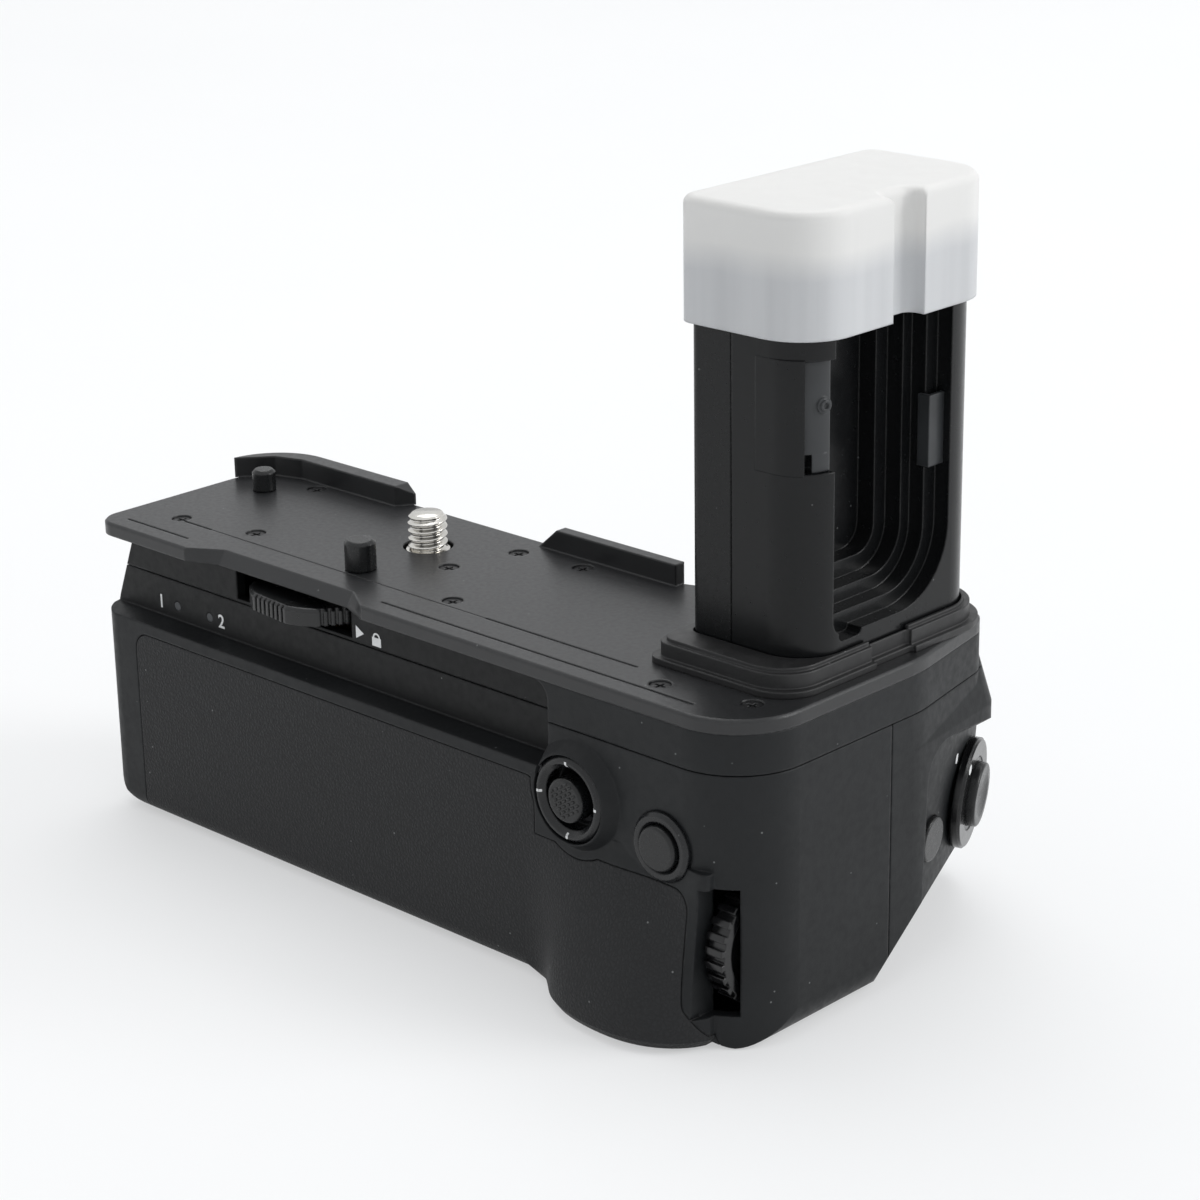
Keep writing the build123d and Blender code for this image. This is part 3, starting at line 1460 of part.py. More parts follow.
with BuildPart() as selector_base:
    with BuildSketch(rear_plane(selector_x, selector_z, back_level)):
        Rectangle(selector_box_long * 2, selector_box_half * 2)
    extrude(amount=selector_back)
    with BuildSketch(rear_plane(selector_x, selector_z, back_level)):
        for side in (-1, 1):
            with Locations((side * (selector_box_long - selector_lug / 2), 0)):
                Rectangle(selector_lug, selector_lug_half * 2)
    extrude(amount=board_front_depth - selector_pivot + selector_lug)
    add(pin_along_x(selector_box_long - selector_lug, selector_box_long,
                    selector_pin_radius + selector_pin_gap), mode=Mode.SUBTRACT)
export(selector_base.part, "selector_base")

half_ring = selector_ring_thickness / 2
with BuildPart() as selector_gimbal:
    add(discs(pivot_plane, ((-half_ring, half_ring, selector_ring_radius),)))
    add(pin_along_x(selector_ring_radius - fit_gap, selector_ring_pin_reach, selector_pin_radius))
    add(discs(pivot_plane, ((-half_ring, half_ring, selector_ring_bore),)), mode=Mode.SUBTRACT)
    add(pin_along_z(0.0, selector_ring_radius + fit_gap, selector_pin_radius + selector_pin_gap),
        mode=Mode.SUBTRACT)
export(selector_gimbal.part, "selector_gimbal")

with BuildPart() as selector_stem:
    with Locations(selector_middle):
        Sphere(selector_dish_radius)
        Sphere(selector_dish_radius - selector_dish_thickness, mode=Mode.SUBTRACT)
    add(box((selector_x - overrun, selector_x + overrun),
            (-seat_rear + selector_pivot - selector_dish_level, body_height), (-body_height, 0)),
        mode=Mode.SUBTRACT)
    stem_top = selector_pivot + selector_stem_proud
    add(discs(pivot_plane, ((-selector_stem_tail, stem_top, selector_stem_radius),)))
    add(pin_along_z(0.0, selector_stem_pin_reach, selector_pin_radius))
export(selector_stem.part, "selector_stem")

with BuildPart() as selector_cap:
    add(discs(rear_plane(selector_x, selector_z),
              ((selector_cap_proud - selector_cap_height, selector_cap_proud, selector_cap_radius),)))
    fillet(selector_cap.edges().sort_by(Axis.Y)[0], selector_cap_edge)
    add(discs(rear_plane(selector_x, selector_z),
              ((selector_cap_proud - selector_cap_height, selector_cap_proud - selector_cap_top,
                selector_stem_radius + running_gap),)), mode=Mode.SUBTRACT)
export(selector_cap.part, "selector_cap")

# Thumb button
thumb_plane = rear_plane(thumb_x, thumb_z)
with BuildPart() as thumb_collar:
    add(discs(thumb_plane, ((-collar_seat, thumb_collar_proud, thumb_collar_radius),)))
    add(discs(thumb_plane, ((-collar_seat, thumb_collar_proud, thumb_radius + running_gap),)),
        mode=Mode.SUBTRACT)
    chamfer(thumb_collar.edges().filter_by(GeomType.CIRCLE).group_by(Axis.Y)[0], thumb_collar_edge)
export(thumb_collar.part, "thumb_collar")

with BuildPart() as thumb_button:
    add(discs(thumb_plane, ((-thumb_flange_top, thumb_proud, thumb_radius),)))
    fillet(thumb_button.edges().sort_by(Axis.Y)[0], thumb_edge)
    add(discs(thumb_plane, ((-thumb_flange_bottom, -thumb_flange_top, thumb_flange_radius),
                            (-thumb_stem_bottom, -thumb_flange_bottom, thumb_stem_radius))))
export(thumb_button.part, "thumb_button")

# Board behind the rear controls, with the thumb switch
board_face = -seat_rear + board_front_depth
with BuildPart() as control_board:
    add(box((board_left, board_right), (board_face, board_face + board_thickness),
            (-board_bottom, -board_top)))
    add(box((board_step, board_right), (board_face, board_face + board_thickness),
            (-board_low_bottom, -board_bottom)))
    switch_top = board_front_depth - thumb_stem_bottom - thumb_travel - switch_gap
    add(box((thumb_x - switch_half, thumb_x + switch_half),
            (board_face - switch_top + switch_plunger, board_face),
            (-thumb_z - switch_half, -thumb_z + switch_half)))
    add(discs(rear_plane(thumb_x, thumb_z, -board_front_depth),
              ((0.0, switch_top, switch_plunger_radius),)))
export(control_board.part, "control_board")


def dial(radius):
    """Ribbed dial lying on its side, its axis along Z."""
    with BuildPart() as wheel:
        with BuildSketch(Plane.XY.offset(-dial_width / 2)):
            Circle(radius)
            with PolarLocations(radius, dial_teeth):
                Rectangle(dial_tooth_depth * 2, math.pi * radius / dial_teeth, mode=Mode.SUBTRACT)
            Circle(dial_axle_diameter / 2 + running_gap, mode=Mode.SUBTRACT)
        extrude(amount=dial_width)
        with BuildSketch(Plane.XY.offset(dial_width / 2 - dial_recess)):
            Circle(radius - dial_rim)
            Circle(dial_hub_radius, mode=Mode.SUBTRACT)
        extrude(amount=dial_recess, mode=Mode.SUBTRACT)
    return wheel.part


def dial_set(name, x, y, z, radius, side):
    """A dial, its axle and the bracket that stands on the floor; side is 1 where the bracket lies at +Y."""
    turned = Plane(origin=(x, y, z), x_dir=(0, 1, 0), z_dir=(1, 0, 0)).location
    inner = dial_width / 2 + bracket_gap
    outer = inner + bracket_wall
    back = y + side * (radius + bracket_back_gap)
    export(dial(radius).moved(turned), name)
    with BuildPart() as axle:
        add(discs(Plane(origin=(x, y, z), z_dir=(1, 0, 0)), ((-outer, outer, dial_axle_diameter / 2),)))
    export(axle.part, f"{name}_axle")
    with BuildPart() as bracket:
        for start in (-outer, inner):
            y_ends = sorted((y - side * bracket_ahead, back))
            add(box((x + start, x + start + bracket_wall), y_ends, (z - bracket_half, z + bracket_half)))
        add(discs(Plane(origin=(x, y, z), z_dir=(1, 0, 0)),
                  ((-outer, outer, dial_axle_diameter / 2 + hub_gap),)), mode=Mode.SUBTRACT)
        y_ends = sorted((back, back + side * bracket_back))
        add(box((x - outer, x + outer), y_ends, (-body_height + wall + bracket_foot_gap, z + bracket_half)))
    export(bracket.part, f"{name}_bracket")


dial_set("rear_dial", rear_dial_x, -rear_dial_out + dial_radius, -rear_dial_z, dial_radius, 1)
dial_set("front_dial", front_dial_x, body_nose_front + front_dial_proud - front_dial_radius, -front_dial_z,
         front_dial_radius, -1)

# Shutter release in its collar, the lock ring round it and the function button
with BuildPart() as release_collar:
    add(discs(facet_plane(), ((-collar_sunk, -wall - collar_flange_gap, collar_radius),
                              (-collar_sunk, ring_proud - fit_gap, collar_neck_radius))))
    add(discs(facet_plane(), ((-collar_sunk, ring_proud, release_stem_radius + running_gap),
                              (-wall + collar_floor, ring_proud, release_radius + running_gap))),
        mode=Mode.SUBTRACT)
export(release_collar.part, "release_collar")

with BuildPart() as shutter_button:
    add(discs(facet_plane(), ((release_proud - release_head, release_proud, release_radius),)))
    fillet(shutter_button.faces().sort_by(Axis(origin=facet_plane().origin,
                                               direction=facet_plane().z_dir))[-1].edges(), release_edge)
    with Locations(facet_plane(shift=release_proud + release_dish_radius - release_dish)):
        Sphere(release_dish_radius, mode=Mode.SUBTRACT)
    head_foot = release_proud - release_head
    add(discs(facet_plane(), ((head_foot - release_stem_length, head_foot, release_stem_radius),)))
export(shutter_button.part, "shutter_button")

with BuildPart() as lock_ring:
    add(discs(facet_plane(), ((ring_base, ring_proud - ring_edge, ring_radius),
                              (ring_proud - ring_edge, ring_proud, ring_radius - ring_edge))))
    with BuildSketch(facet_plane(shift=ring_base)):
        with PolarLocations(ring_radius, 1, start_angle=ring_tab_angle):
            RectangleRounded(ring_tab_length * 2, ring_tab_width, ring_tab_round)
    extrude(amount=ring_proud - ring_edge - ring_base)
    add(discs(facet_plane(), ((ring_base, ring_proud, collar_neck_radius + running_gap),)),
        mode=Mode.SUBTRACT)
export(lock_ring.part, "lock_ring")

function_plane = facet_plane(function_turn, -function_drop)
with BuildPart() as function_button:
    add(discs(function_plane, ((-function_flange_top, function_proud, function_radius),)))
    fillet(function_button.faces().sort_by(Axis(origin=function_plane.origin,
                                                direction=function_plane.z_dir))[-1].edges(), function_edge)
    add(discs(function_plane, ((-function_flange_bottom, -function_flange_top, function_flange_radius),
                               (-function_stem_bottom, -function_flange_bottom, function_stem_radius))))
export(function_button.part, "function_button")

with BuildPart() as release_board:
    with BuildSketch(facet_plane(shift=-release_board_depth - board_thickness)):
        with Locations(((release_board_ahead - release_board_back) / 2, 0)):
            Rectangle(release_board_ahead + release_board_back, release_board_half * 2)
    extrude(amount=board_thickness)
    with BuildSketch(facet_plane(shift=-release_board_depth)):
        Rectangle(switch_half * 2, switch_half * 2)
    extrude(amount=release_board_depth - release_switch_top)
    with BuildSketch(facet_plane(function_turn, -function_drop, -release_board_depth - board_thickness / 2)):
        Rectangle(switch_half * 2, switch_half * 2)
    extrude(amount=release_board_depth + board_thickness / 2 - function_switch_top)
    add(discs(facet_plane(), ((-release_board_depth, -release_post_top, release_post_radius),),
              ((-release_post_u, release_post_v), (-release_post_u, -release_post_v))))
export(release_board.part, "release_board")

# Battery chamber: frame, rails, contacts
with BuildPart() as chamber_frame:
    add(box((-frame_left, board_step - fit_gap), (-chamber_rear, body_front - wall),
            (-frame_top, -frame_top + frame_wall)))
    for index in range(frame_ribs):
        rib_x = -frame_left + first_rib_in + index * frame_rib_pitch
        add(box((rib_x - rib_width / 2, rib_x + rib_width / 2), (-chamber_rear, body_front - wall),
                (-frame_top + frame_wall, -frame_top + frame_wall + frame_rib_height)))
    board_corners = tuple(
        (x, y)
        for x in (main_board_left + main_board_inset, main_board_right - main_board_inset)
        for y in (-main_board_rear + main_board_inset, main_board_front - main_board_inset)
    )
    add(discs(Plane.XY.offset(-frame_top + frame_wall), ((0.0, main_board_rise, main_board_post / 2),),
              board_corners))
export(chamber_frame.part, "chamber_frame")

board_level = -frame_top + frame_wall + main_board_rise
with BuildPart() as main_board:
    add(box((main_board_left, main_board_right), (-main_board_rear, main_board_front),
            (board_level, board_level + board_thickness)))
    for x, y, width, length in chips:
        middle = (main_board_left + main_board_right) / 2 + x
        add(box((middle - width / 2, middle + width / 2), (y - length / 2, y + length / 2),
                (board_level + board_thickness, board_level + board_thickness + chip_height)))
export(main_board.part, "main_board")

with BuildPart() as tray_rails:
    for y in rail_y:
        add(box((-frame_left, rail_right), (y - rail_width / 2, y + rail_width / 2),
                (-body_height + wall, -frame_low)))
    add(discs(Plane.XY.offset(-body_height), ((0.0, shell_screw_seat + shell_screw_length + hub_gap,
                                               shell_screw_shank / 2 + hub_gap),), shell_screws),
        mode=Mode.SUBTRACT)
export(tray_rails.part, "tray_rails")

contact_right = contact_left + contact_block_thickness
with BuildPart() as contact_block:
    add(box((contact_left, contact_right),
            (-contact_block_half + tray_middle, contact_block_half + tray_middle),
            (-contact_block_bottom, -contact_block_top)))
    add(box((contact_right, contact_right + contact_plate_thickness),
            (-contact_plate_half + tray_middle, contact_plate_half + tray_middle),
            (-body_height + wall, -contact_block_top)))
export(contact_block.part, "contact_block")

with BuildPart() as contact_blades:
    for index in range(battery_terminals):
        blade_y = tray_middle + (index - (battery_terminals - 1) / 2) * battery_terminal_pitch
        add(box((contact_left - contact_blade_reach, contact_left),
                (blade_y - contact_blade_width / 2, blade_y + contact_blade_width / 2),
                (-contact_block_bottom + contact_blade_in, -contact_block_top - contact_blade_in)))
export(contact_blades.part, "contact_blades")

# Battery tray with its end cap and lock
tray_sides = (-battery_rear + tray_side_in, battery_front - tray_side_in)
with BuildPart() as battery_tray:
    add(box((-end_cap_inner, tray_right), tray_sides, (-tray_top, -tray_inner_top)))
    add(box((-end_cap_inner, -end_cap_inner + tray_wall), tray_sides,
            (-tray_inner_top, -tray_inner_top + tray_end_wall)))
    for left in (first_battery + battery_length, tray_right - tray_wall):
        add(box((left, left + tray_wall), tray_sides, (-tray_inner_top, -tray_inner_top + tray_low_wall)))
    for left in (first_battery, second_battery):
        with BuildSketch(Plane.XY.offset(-tray_top)):
            with Locations((left + battery_length / 2, tray_middle)):
                SlotOverall(battery_length * tray_window_share, tray_window_width)
        extrude(amount=tray_floor, mode=Mode.SUBTRACT)
export(battery_tray.part, "battery_tray")

for name, left in (("battery_1", first_battery), ("battery_2", second_battery)):
    with BuildPart() as battery:
        add(box((left + hub_gap, left + battery_length - hub_gap), (-battery_rear, battery_front),
                (-battery_bottom, -battery_top)))
        fillet(battery.edges().filter_by(Axis.X), battery_round)
        for index in range(battery_terminals):
            slot_y = tray_middle + (index - (battery_terminals - 1) / 2) * battery_terminal_pitch
            add(box((left + battery_length - battery_slot_depth, left + battery_length),
                    (slot_y - battery_terminal_width / 2, slot_y + battery_terminal_width / 2),
                    (-contact_block_bottom, -contact_block_top)), mode=Mode.SUBTRACT)
    export(battery.part, name)

cap_axis = Plane(origin=(-seat_left, end_cap_y, end_cap_z), x_dir=(0, -1, 0), z_dir=(-1, 0, 0))
with BuildPart() as tray_end_cap:
    add(body)
    add(tray_opening(end_cap_gap), mode=Mode.INTERSECT)
    with BuildSketch(cap_axis.offset(-bolt_level - bolt_thickness - bolt_gap)):
        Circle(bolt_reach + bolt_gap)
        with Locations((-bolt_reach, -bolt_reach)):
            Rectangle(bolt_reach * 2 + bolt_width + bolt_gap * 2, bolt_reach * 2 - bolt_width - bolt_gap * 2,
                      mode=Mode.SUBTRACT)
        with Locations((-bolt_reach - bolt_width / 2 - bolt_gap, 0)):
            Rectangle(bolt_reach * 2, cutter_reach, mode=Mode.SUBTRACT)
        Circle(bolt_hub_radius + bolt_gap)
    extrude(amount=bolt_thickness + bolt_gap * 2, mode=Mode.SUBTRACT)
    add(discs(cap_axis, ((-knob_recess, overrun, knob_diameter / 2 + knob_gap),
                         (-bolt_level, 0.0, knob_shaft_diameter / 2 + running_gap))), mode=Mode.SUBTRACT)
export(tray_end_cap.part, "tray_end_cap")

with BuildPart() as tray_lock_knob:
    add(discs(cap_axis, ((-knob_recess + running_gap, 0.0, knob_diameter / 2),
                         (-bolt_level, -knob_recess + running_gap, knob_shaft_diameter / 2))))
    with BuildSketch(cap_axis.offset(-knob_dish)):
        Circle(knob_diameter / 2 - knob_rim)
        Rectangle(knob_diameter, knob_bar_width, mode=Mode.SUBTRACT)
    extrude(amount=knob_dish, mode=Mode.SUBTRACT)
export(tray_lock_knob.part, "tray_lock_knob")

with BuildPart() as tray_lock_bolt:
    with BuildSketch(cap_axis.offset(-bolt_level - bolt_thickness)):
        Circle(bolt_hub_radius)
        with Locations((bolt_reach / 2, 0)):
            Rectangle(bolt_reach, bolt_width)
        Circle(bolt_reach, mode=Mode.INTERSECT)
    extrude(amount=bolt_thickness)
export(tray_lock_bolt.part, "tray_lock_bolt")

# Lamps, tripod bush
with BuildPart() as lamp_lenses:
    add(discs(rear_plane(lamp_places[0], lamp_level), ((-strip_depth - wall, -strip_depth, lamp_radius),),
              tuple((place - lamp_places[0], 0.0) for place in lamp_places)))
export(lamp_lenses.part, "lamp_lenses")

with BuildPart() as tripod_bush:
    floor_plane = Plane.XY.offset(-body_height)
    add(discs(floor_plane, ((0.0, tripod_height - tripod_bush_short, tripod_bush_diameter / 2),
                            (wall, wall + tripod_flange_thickness, tripod_flange_diameter / 2))))
    add(discs(floor_plane, ((0.0, tripod_height, tripod_thread_diameter / 2),)), mode=Mode.SUBTRACT)
    chamfer(tripod_bush.edges().filter_by(GeomType.CIRCLE).group_by(Axis.Z)[0].sort_by(SortBy.RADIUS)[0],
            tripod_edge)
export(tripod_bush.part, "tripod_bush")
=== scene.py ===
import math
import bmesh
import bpy
from mathutils import Matrix, Vector


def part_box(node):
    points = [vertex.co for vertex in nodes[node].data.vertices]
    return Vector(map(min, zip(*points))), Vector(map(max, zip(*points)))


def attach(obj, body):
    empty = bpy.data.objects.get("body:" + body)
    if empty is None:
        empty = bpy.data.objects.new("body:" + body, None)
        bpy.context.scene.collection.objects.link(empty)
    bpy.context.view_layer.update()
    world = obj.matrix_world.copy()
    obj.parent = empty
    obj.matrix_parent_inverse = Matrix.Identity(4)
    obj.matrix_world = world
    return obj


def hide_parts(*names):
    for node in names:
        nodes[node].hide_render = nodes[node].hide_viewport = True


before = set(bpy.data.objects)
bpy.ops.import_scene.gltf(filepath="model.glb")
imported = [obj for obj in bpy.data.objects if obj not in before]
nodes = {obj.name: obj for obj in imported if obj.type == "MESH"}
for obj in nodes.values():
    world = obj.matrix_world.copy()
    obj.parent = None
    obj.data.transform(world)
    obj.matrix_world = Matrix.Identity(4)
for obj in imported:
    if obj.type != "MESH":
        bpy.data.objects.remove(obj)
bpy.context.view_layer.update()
scene = bpy.context.scene
scene.view_settings.view_transform = "Standard"
MM = 0.001


# Materials: texture scales are per metre, the rest of these are shares and colours
NOISE_LOW, NOISE_HIGH = 0.3, 0.7
BEVEL_SAMPLES = 6
FLAT_DOT, EDGE_DOT = 0.995, 0.9
DRIFT_SCALE = 55.0
DRIFT_LOW, DRIFT_HIGH = 0.35, 0.65
WEAR_AND_HIGHLIGHT_SCALE = 900.0
WEAR_AND_HIGHLIGHT_LOW, WEAR_AND_HIGHLIGHT_HIGH = 0.45, 0.62
WEAR_AND_HIGHLIGHT_FACTOR, WEAR_AND_HIGHLIGHT_LIFT = 1.8, 0.02
GLOSS_GRAIN = 0.3
GLOSS_SPREAD = 0.15
DUST_SCALE = 260.0
DUST_RIM, DUST_CORE = 0.045, 0.03
DUST = (0.35, 0.36, 0.36, 1.0)


def new_material(name):
    """A node material; returns it with its tree and its shader."""
    mat = bpy.data.materials.new(name)
    mat.use_nodes = True
    tree = mat.node_tree
    shader = next(n for n in tree.nodes if n.type == "BSDF_PRINCIPLED")
    return mat, tree, shader


def add_node(tree, kind, **values):
    node = tree.nodes.new(kind)
    for key, value in values.items():
        setattr(node, key, value)
    return node


def object_coords(tree):
    return add_node(tree, "ShaderNodeTexCoord").outputs["Object"]


def noise(tree, coords, scale, detail=3.0, roughness=0.5):
    node = add_node(tree, "ShaderNodeTexNoise")
    node.inputs["Scale"].default_value = scale
    node.inputs["Detail"].default_value = detail
    node.inputs["Roughness"].default_value = roughness
    tree.links.new(coords, node.inputs["Vector"])
    return node.outputs["Fac"]


def cell_distance(tree, coords, scale, feature="F1"):
    """Distance to the middle of the nearest cell, or to its edge."""
    cells = add_node(tree, "ShaderNodeTexVoronoi", feature=feature)
    cells.inputs["Scale"].default_value = scale
    tree.links.new(coords, cells.inputs["Vector"])
    return cells.outputs["Distance"]


def stretched(tree, coords, scale):
    mapping = add_node(tree, "ShaderNodeMapping")
    mapping.inputs["Scale"].default_value = scale
    tree.links.new(coords, mapping.inputs["Vector"])
    return mapping.outputs[0]


def span(tree, value, low, high, out_low=0.0, out_high=1.0):
    """Value mapped from one range to another and kept inside it."""
    node = add_node(tree, "ShaderNodeMapRange", clamp=True)
    numbers = {"From Min": low, "From Max": high, "To Min": out_low, "To Max": out_high}
    for socket, number in numbers.items():
        node.inputs[socket].default_value = number
    tree.links.new(value, node.inputs["Value"])
    return node.outputs["Result"]


def math_node(tree, operation, a, b):
    node = add_node(tree, "ShaderNodeMath", operation=operation)
    for socket, value in zip(node.inputs, (a, b)):
        if isinstance(value, (int, float)):
            socket.default_value = value
        else:
            tree.links.new(value, socket)
    return node.outputs[0]


def opaque(color, factor=1.0, lift=0.0):
    """A colour for a socket, scaled and lifted."""
    return tuple(min(1.0, c * factor + lift) for c in color) + (1.0,)


def blend_colors(tree, factor, first, second):
    node = add_node(tree, "ShaderNodeMix", data_type="RGBA")
    tree.links.new(factor, node.inputs["Factor"])
    sockets = [s for s in node.inputs if s.type == "RGBA"]
    for socket, value in zip(sockets, (first, second)):
        if isinstance(value, tuple):
            socket.default_value = value
        else:
            tree.links.new(value, socket)
    return next(s for s in node.outputs if s.type == "RGBA")


def zone(tree, coords, limits):
    """1 inside the limits, 0 outside; a limit is (axis, where it is 0, where it is 1) in metres."""
    split = add_node(tree, "ShaderNodeSeparateXYZ")
    tree.links.new(coords, split.inputs[0])
    inside = None
    for axis, none_at, full_at in limits:
        part = span(tree, split.outputs[axis], none_at, full_at)
        inside = math_node(tree, "MULTIPLY", inside, part) if inside else part
    return inside


def rounded_normal(tree, radius):
    """Normal with the edges rounded over a radius in millimetres."""
    bevel = add_node(tree, "ShaderNodeBevel", samples=BEVEL_SAMPLES)
    bevel.inputs["Radius"].default_value = radius * MM
    return bevel.outputs[0]


def edge_wear_and_highlight(tree, normal):
    """1 along sharp edges and 0 on flats, by how far the rounded normal leans from the true one."""
    geometry = add_node(tree, "ShaderNodeNewGeometry")
    dot = add_node(tree, "ShaderNodeVectorMath", operation="DOT_PRODUCT")
    tree.links.new(normal, dot.inputs[0])
    tree.links.new(geometry.outputs["Normal"], dot.inputs[1])
    return span(tree, dot.outputs["Value"], FLAT_DOT, EDGE_DOT)


def bumped(tree, shader, height, distance, normal):
    """Bump over a normal; the distance is in millimetres."""
    bump = add_node(tree, "ShaderNodeBump")
    bump.inputs["Distance"].default_value = distance * MM
    tree.links.new(height, bump.inputs["Height"])
    tree.links.new(normal, bump.inputs["Normal"])
    tree.links.new(bump.outputs[0], shader.inputs["Normal"])


def surface(name, color, roughness, grain, grain_height, spread=0.25, edge=0.35, metallic=0.0,
            specular=0.5, dust=0.0, bevel=0.35, stretch=None, patch=None, patch_color=None):
    """Moulded or machined surface: colour drift, fine grain, uneven gloss, edges lightened as wear and as
    a painted highlight, and dust.

    Grain is a texture scale, its height and the bevel are millimetres, the rest are shares; edge is
    how far the rims lighten, as wear and as a painted highlight. A patch is a set of limits for
    zone(), where another colour shows.
    """
    mat, tree, shader = new_material(name)
    coords = object_coords(tree)
    grain_coords = stretched(tree, coords, stretch) if stretch else coords
    drift = span(tree, noise(tree, coords, DRIFT_SCALE, 4.0), DRIFT_LOW, DRIFT_HIGH)
    base = blend_colors(tree, drift, opaque(color, 1 - spread), opaque(color, 1 + spread))
    if patch:
        base = blend_colors(tree, zone(tree, coords, patch), base, opaque(patch_color))
    normal = rounded_normal(tree, bevel)
    patches = span(tree, noise(tree, coords, WEAR_AND_HIGHLIGHT_SCALE, 2.0), WEAR_AND_HIGHLIGHT_LOW, WEAR_AND_HIGHLIGHT_HIGH, 0.0, edge)
    # The rims lighten in patches, partly as wear and partly as a painted highlight
    wear_and_highlight = math_node(tree, "MULTIPLY", edge_wear_and_highlight(tree, normal), patches)
    base = blend_colors(tree, wear_and_highlight, base, opaque(color, WEAR_AND_HIGHLIGHT_FACTOR, WEAR_AND_HIGHLIGHT_LIFT))
    if dust:
        specks = span(tree, cell_distance(tree, coords, DUST_SCALE), DUST_RIM, DUST_CORE, 0.0, dust)
        base = blend_colors(tree, specks, base, DUST)
    tree.links.new(base, shader.inputs["Base Color"])
    gloss = span(tree, noise(tree, grain_coords, grain * GLOSS_GRAIN, 3.0), NOISE_LOW, NOISE_HIGH,
                 roughness * (1 - GLOSS_SPREAD), min(1.0, roughness * (1 + GLOSS_SPREAD)))
    tree.links.new(gloss, shader.inputs["Roughness"])
    shader.inputs["Metallic"].default_value = metallic
    shader.inputs["Specular IOR Level"].default_value = specular
    bumped(tree, shader, noise(tree, grain_coords, grain, 3.0, 0.6), grain_height, normal)
    return mat


def pebbled(name, color):
    """Grip rubber: rounded pebbles with creases between them, painted shade in the creases and painted
    light on the pebble tops, and dust.
    """
    warp_scale, warp_reach = 900.0, 0.0006
    pebble_scale, crease_width = 1350.0, 0.3
    fine_scale, fine_share = 4200.0, 0.25
    large_scale, large_share = 160.0, 0.8
    crease_shade_factor, pebble_top_light_factor = 0.85, 1.12
    speck_scale, speck_rim, speck_core, speck_share = 230.0, 0.04, 0.028, 0.5
    speck_color = (0.3, 0.31, 0.31, 1.0)
    gloss_low, gloss_high = 0.5, 0.66
    mat, tree, shader = new_material(name)
    coords = object_coords(tree)
    warp = add_node(tree, "ShaderNodeTexNoise")
    warp.inputs["Scale"].default_value = warp_scale
    tree.links.new(coords, warp.inputs["Vector"])
    shift = add_node(tree, "ShaderNodeVectorMath", operation="SCALE")
    shift.inputs["Scale"].default_value = warp_reach
    tree.links.new(warp.outputs["Color"], shift.inputs[0])
    moved = add_node(tree, "ShaderNodeVectorMath", operation="ADD")
    tree.links.new(coords, moved.inputs[0])
    tree.links.new(shift.outputs[0], moved.inputs[1])
    edge_distance = cell_distance(tree, moved.outputs[0], pebble_scale, "DISTANCE_TO_EDGE")
    pebble = span(tree, edge_distance, 0.0, crease_width)
    fine = noise(tree, coords, fine_scale, 2.0)
    large = noise(tree, coords, large_scale, 3.0)
    height = math_node(tree, "ADD", pebble, math_node(tree, "MULTIPLY", fine, fine_share))
    height = math_node(tree, "ADD", height, math_node(tree, "MULTIPLY", large, large_share))
    # Painted shade darkens the creases and painted light brightens the pebble tops
    base = blend_colors(tree, span(tree, pebble, 0.1, 0.9),
                        opaque(color, crease_shade_factor), opaque(color, pebble_top_light_factor))
    specks = span(tree, cell_distance(tree, coords, speck_scale), speck_rim, speck_core, 0.0, speck_share)
    base = blend_colors(tree, specks, base, speck_color)
    tree.links.new(base, shader.inputs["Base Color"])
    gloss = span(tree, fine, NOISE_LOW, NOISE_HIGH, gloss_low, gloss_high)
    tree.links.new(gloss, shader.inputs["Roughness"])
    shader.inputs["Specular IOR Level"].default_value = 0.3
    bumped(tree, shader, height, 0.05, rounded_normal(tree, 0.4))
    return mat


def milky(name, head_top, painted_light_from):
    """Soft translucent plastic with faint drawn streaks, greyed as painted shade up to where the stalk's
    head ends and paler above it as painted light.
    """
    streak_stretch = (260.0, 260.0, 6.0)
    # Streak colours greyed as painted shade; the colour after them is the painted light of the cap's top
    dark_streak, pale_streak = (0.66, 0.67, 0.685, 1.0), (0.74, 0.75, 0.765, 1.0)
    painted_top_light_color = (0.9, 0.895, 0.88, 1.0)
    wave_scale, wave_height = 90.0, 0.002
    gloss_low, gloss_high = 0.3, 0.42
    mat, tree, shader = new_material(name)
    coords = object_coords(tree)
    streak = noise(tree, stretched(tree, coords, streak_stretch), 1.0, 3.0)
    streaked = blend_colors(tree, span(tree, streak, NOISE_LOW, NOISE_HIGH), dark_streak, pale_streak)
    wavy = math_node(tree, "MULTIPLY", noise(tree, coords, wave_scale, 2.0), wave_height)
    # Painted light on the cap's top, blended in above the stalk's head
    split = add_node(tree, "ShaderNodeSeparateXYZ")
    tree.links.new(coords, split.inputs[0])
    painted_top_light_mask = span(tree, math_node(tree, "ADD", split.outputs["Z"], wavy), head_top, painted_light_from)
    base = blend_colors(tree, painted_top_light_mask, streaked, painted_top_light_color)
    tree.links.new(base, shader.inputs["Base Color"])
    gloss = span(tree, streak, NOISE_LOW, NOISE_HIGH, gloss_low, gloss_high)
    tree.links.new(gloss, shader.inputs["Roughness"])
    shader.inputs["Transmission Weight"].default_value = 0.25
    shader.inputs["IOR"].default_value = 1.3
    shader.inputs["Specular IOR Level"].default_value = 0.4
    bumped(tree, shader, streak, 0.06, rounded_normal(tree, 0.6))
    return mat


def printed(name, color):
    """Printed ink, slightly uneven."""
    return surface(name, color, 0.5, 3000.0, 0.004, spread=0.06, edge=0.0, bevel=0.02)


# The housing's recessed strip under the plate's lip, coloured darker than the rest, as limits for zone()
STRIP_AREA = (("X", 0.0529, 0.0525), ("Y", -0.0236, -0.0233), ("Z", -0.0153, -0.015))
BLACK = (0.0035, 0.0038, 0.0042)
STALK_BLACK = (0.006, 0.0065, 0.007)

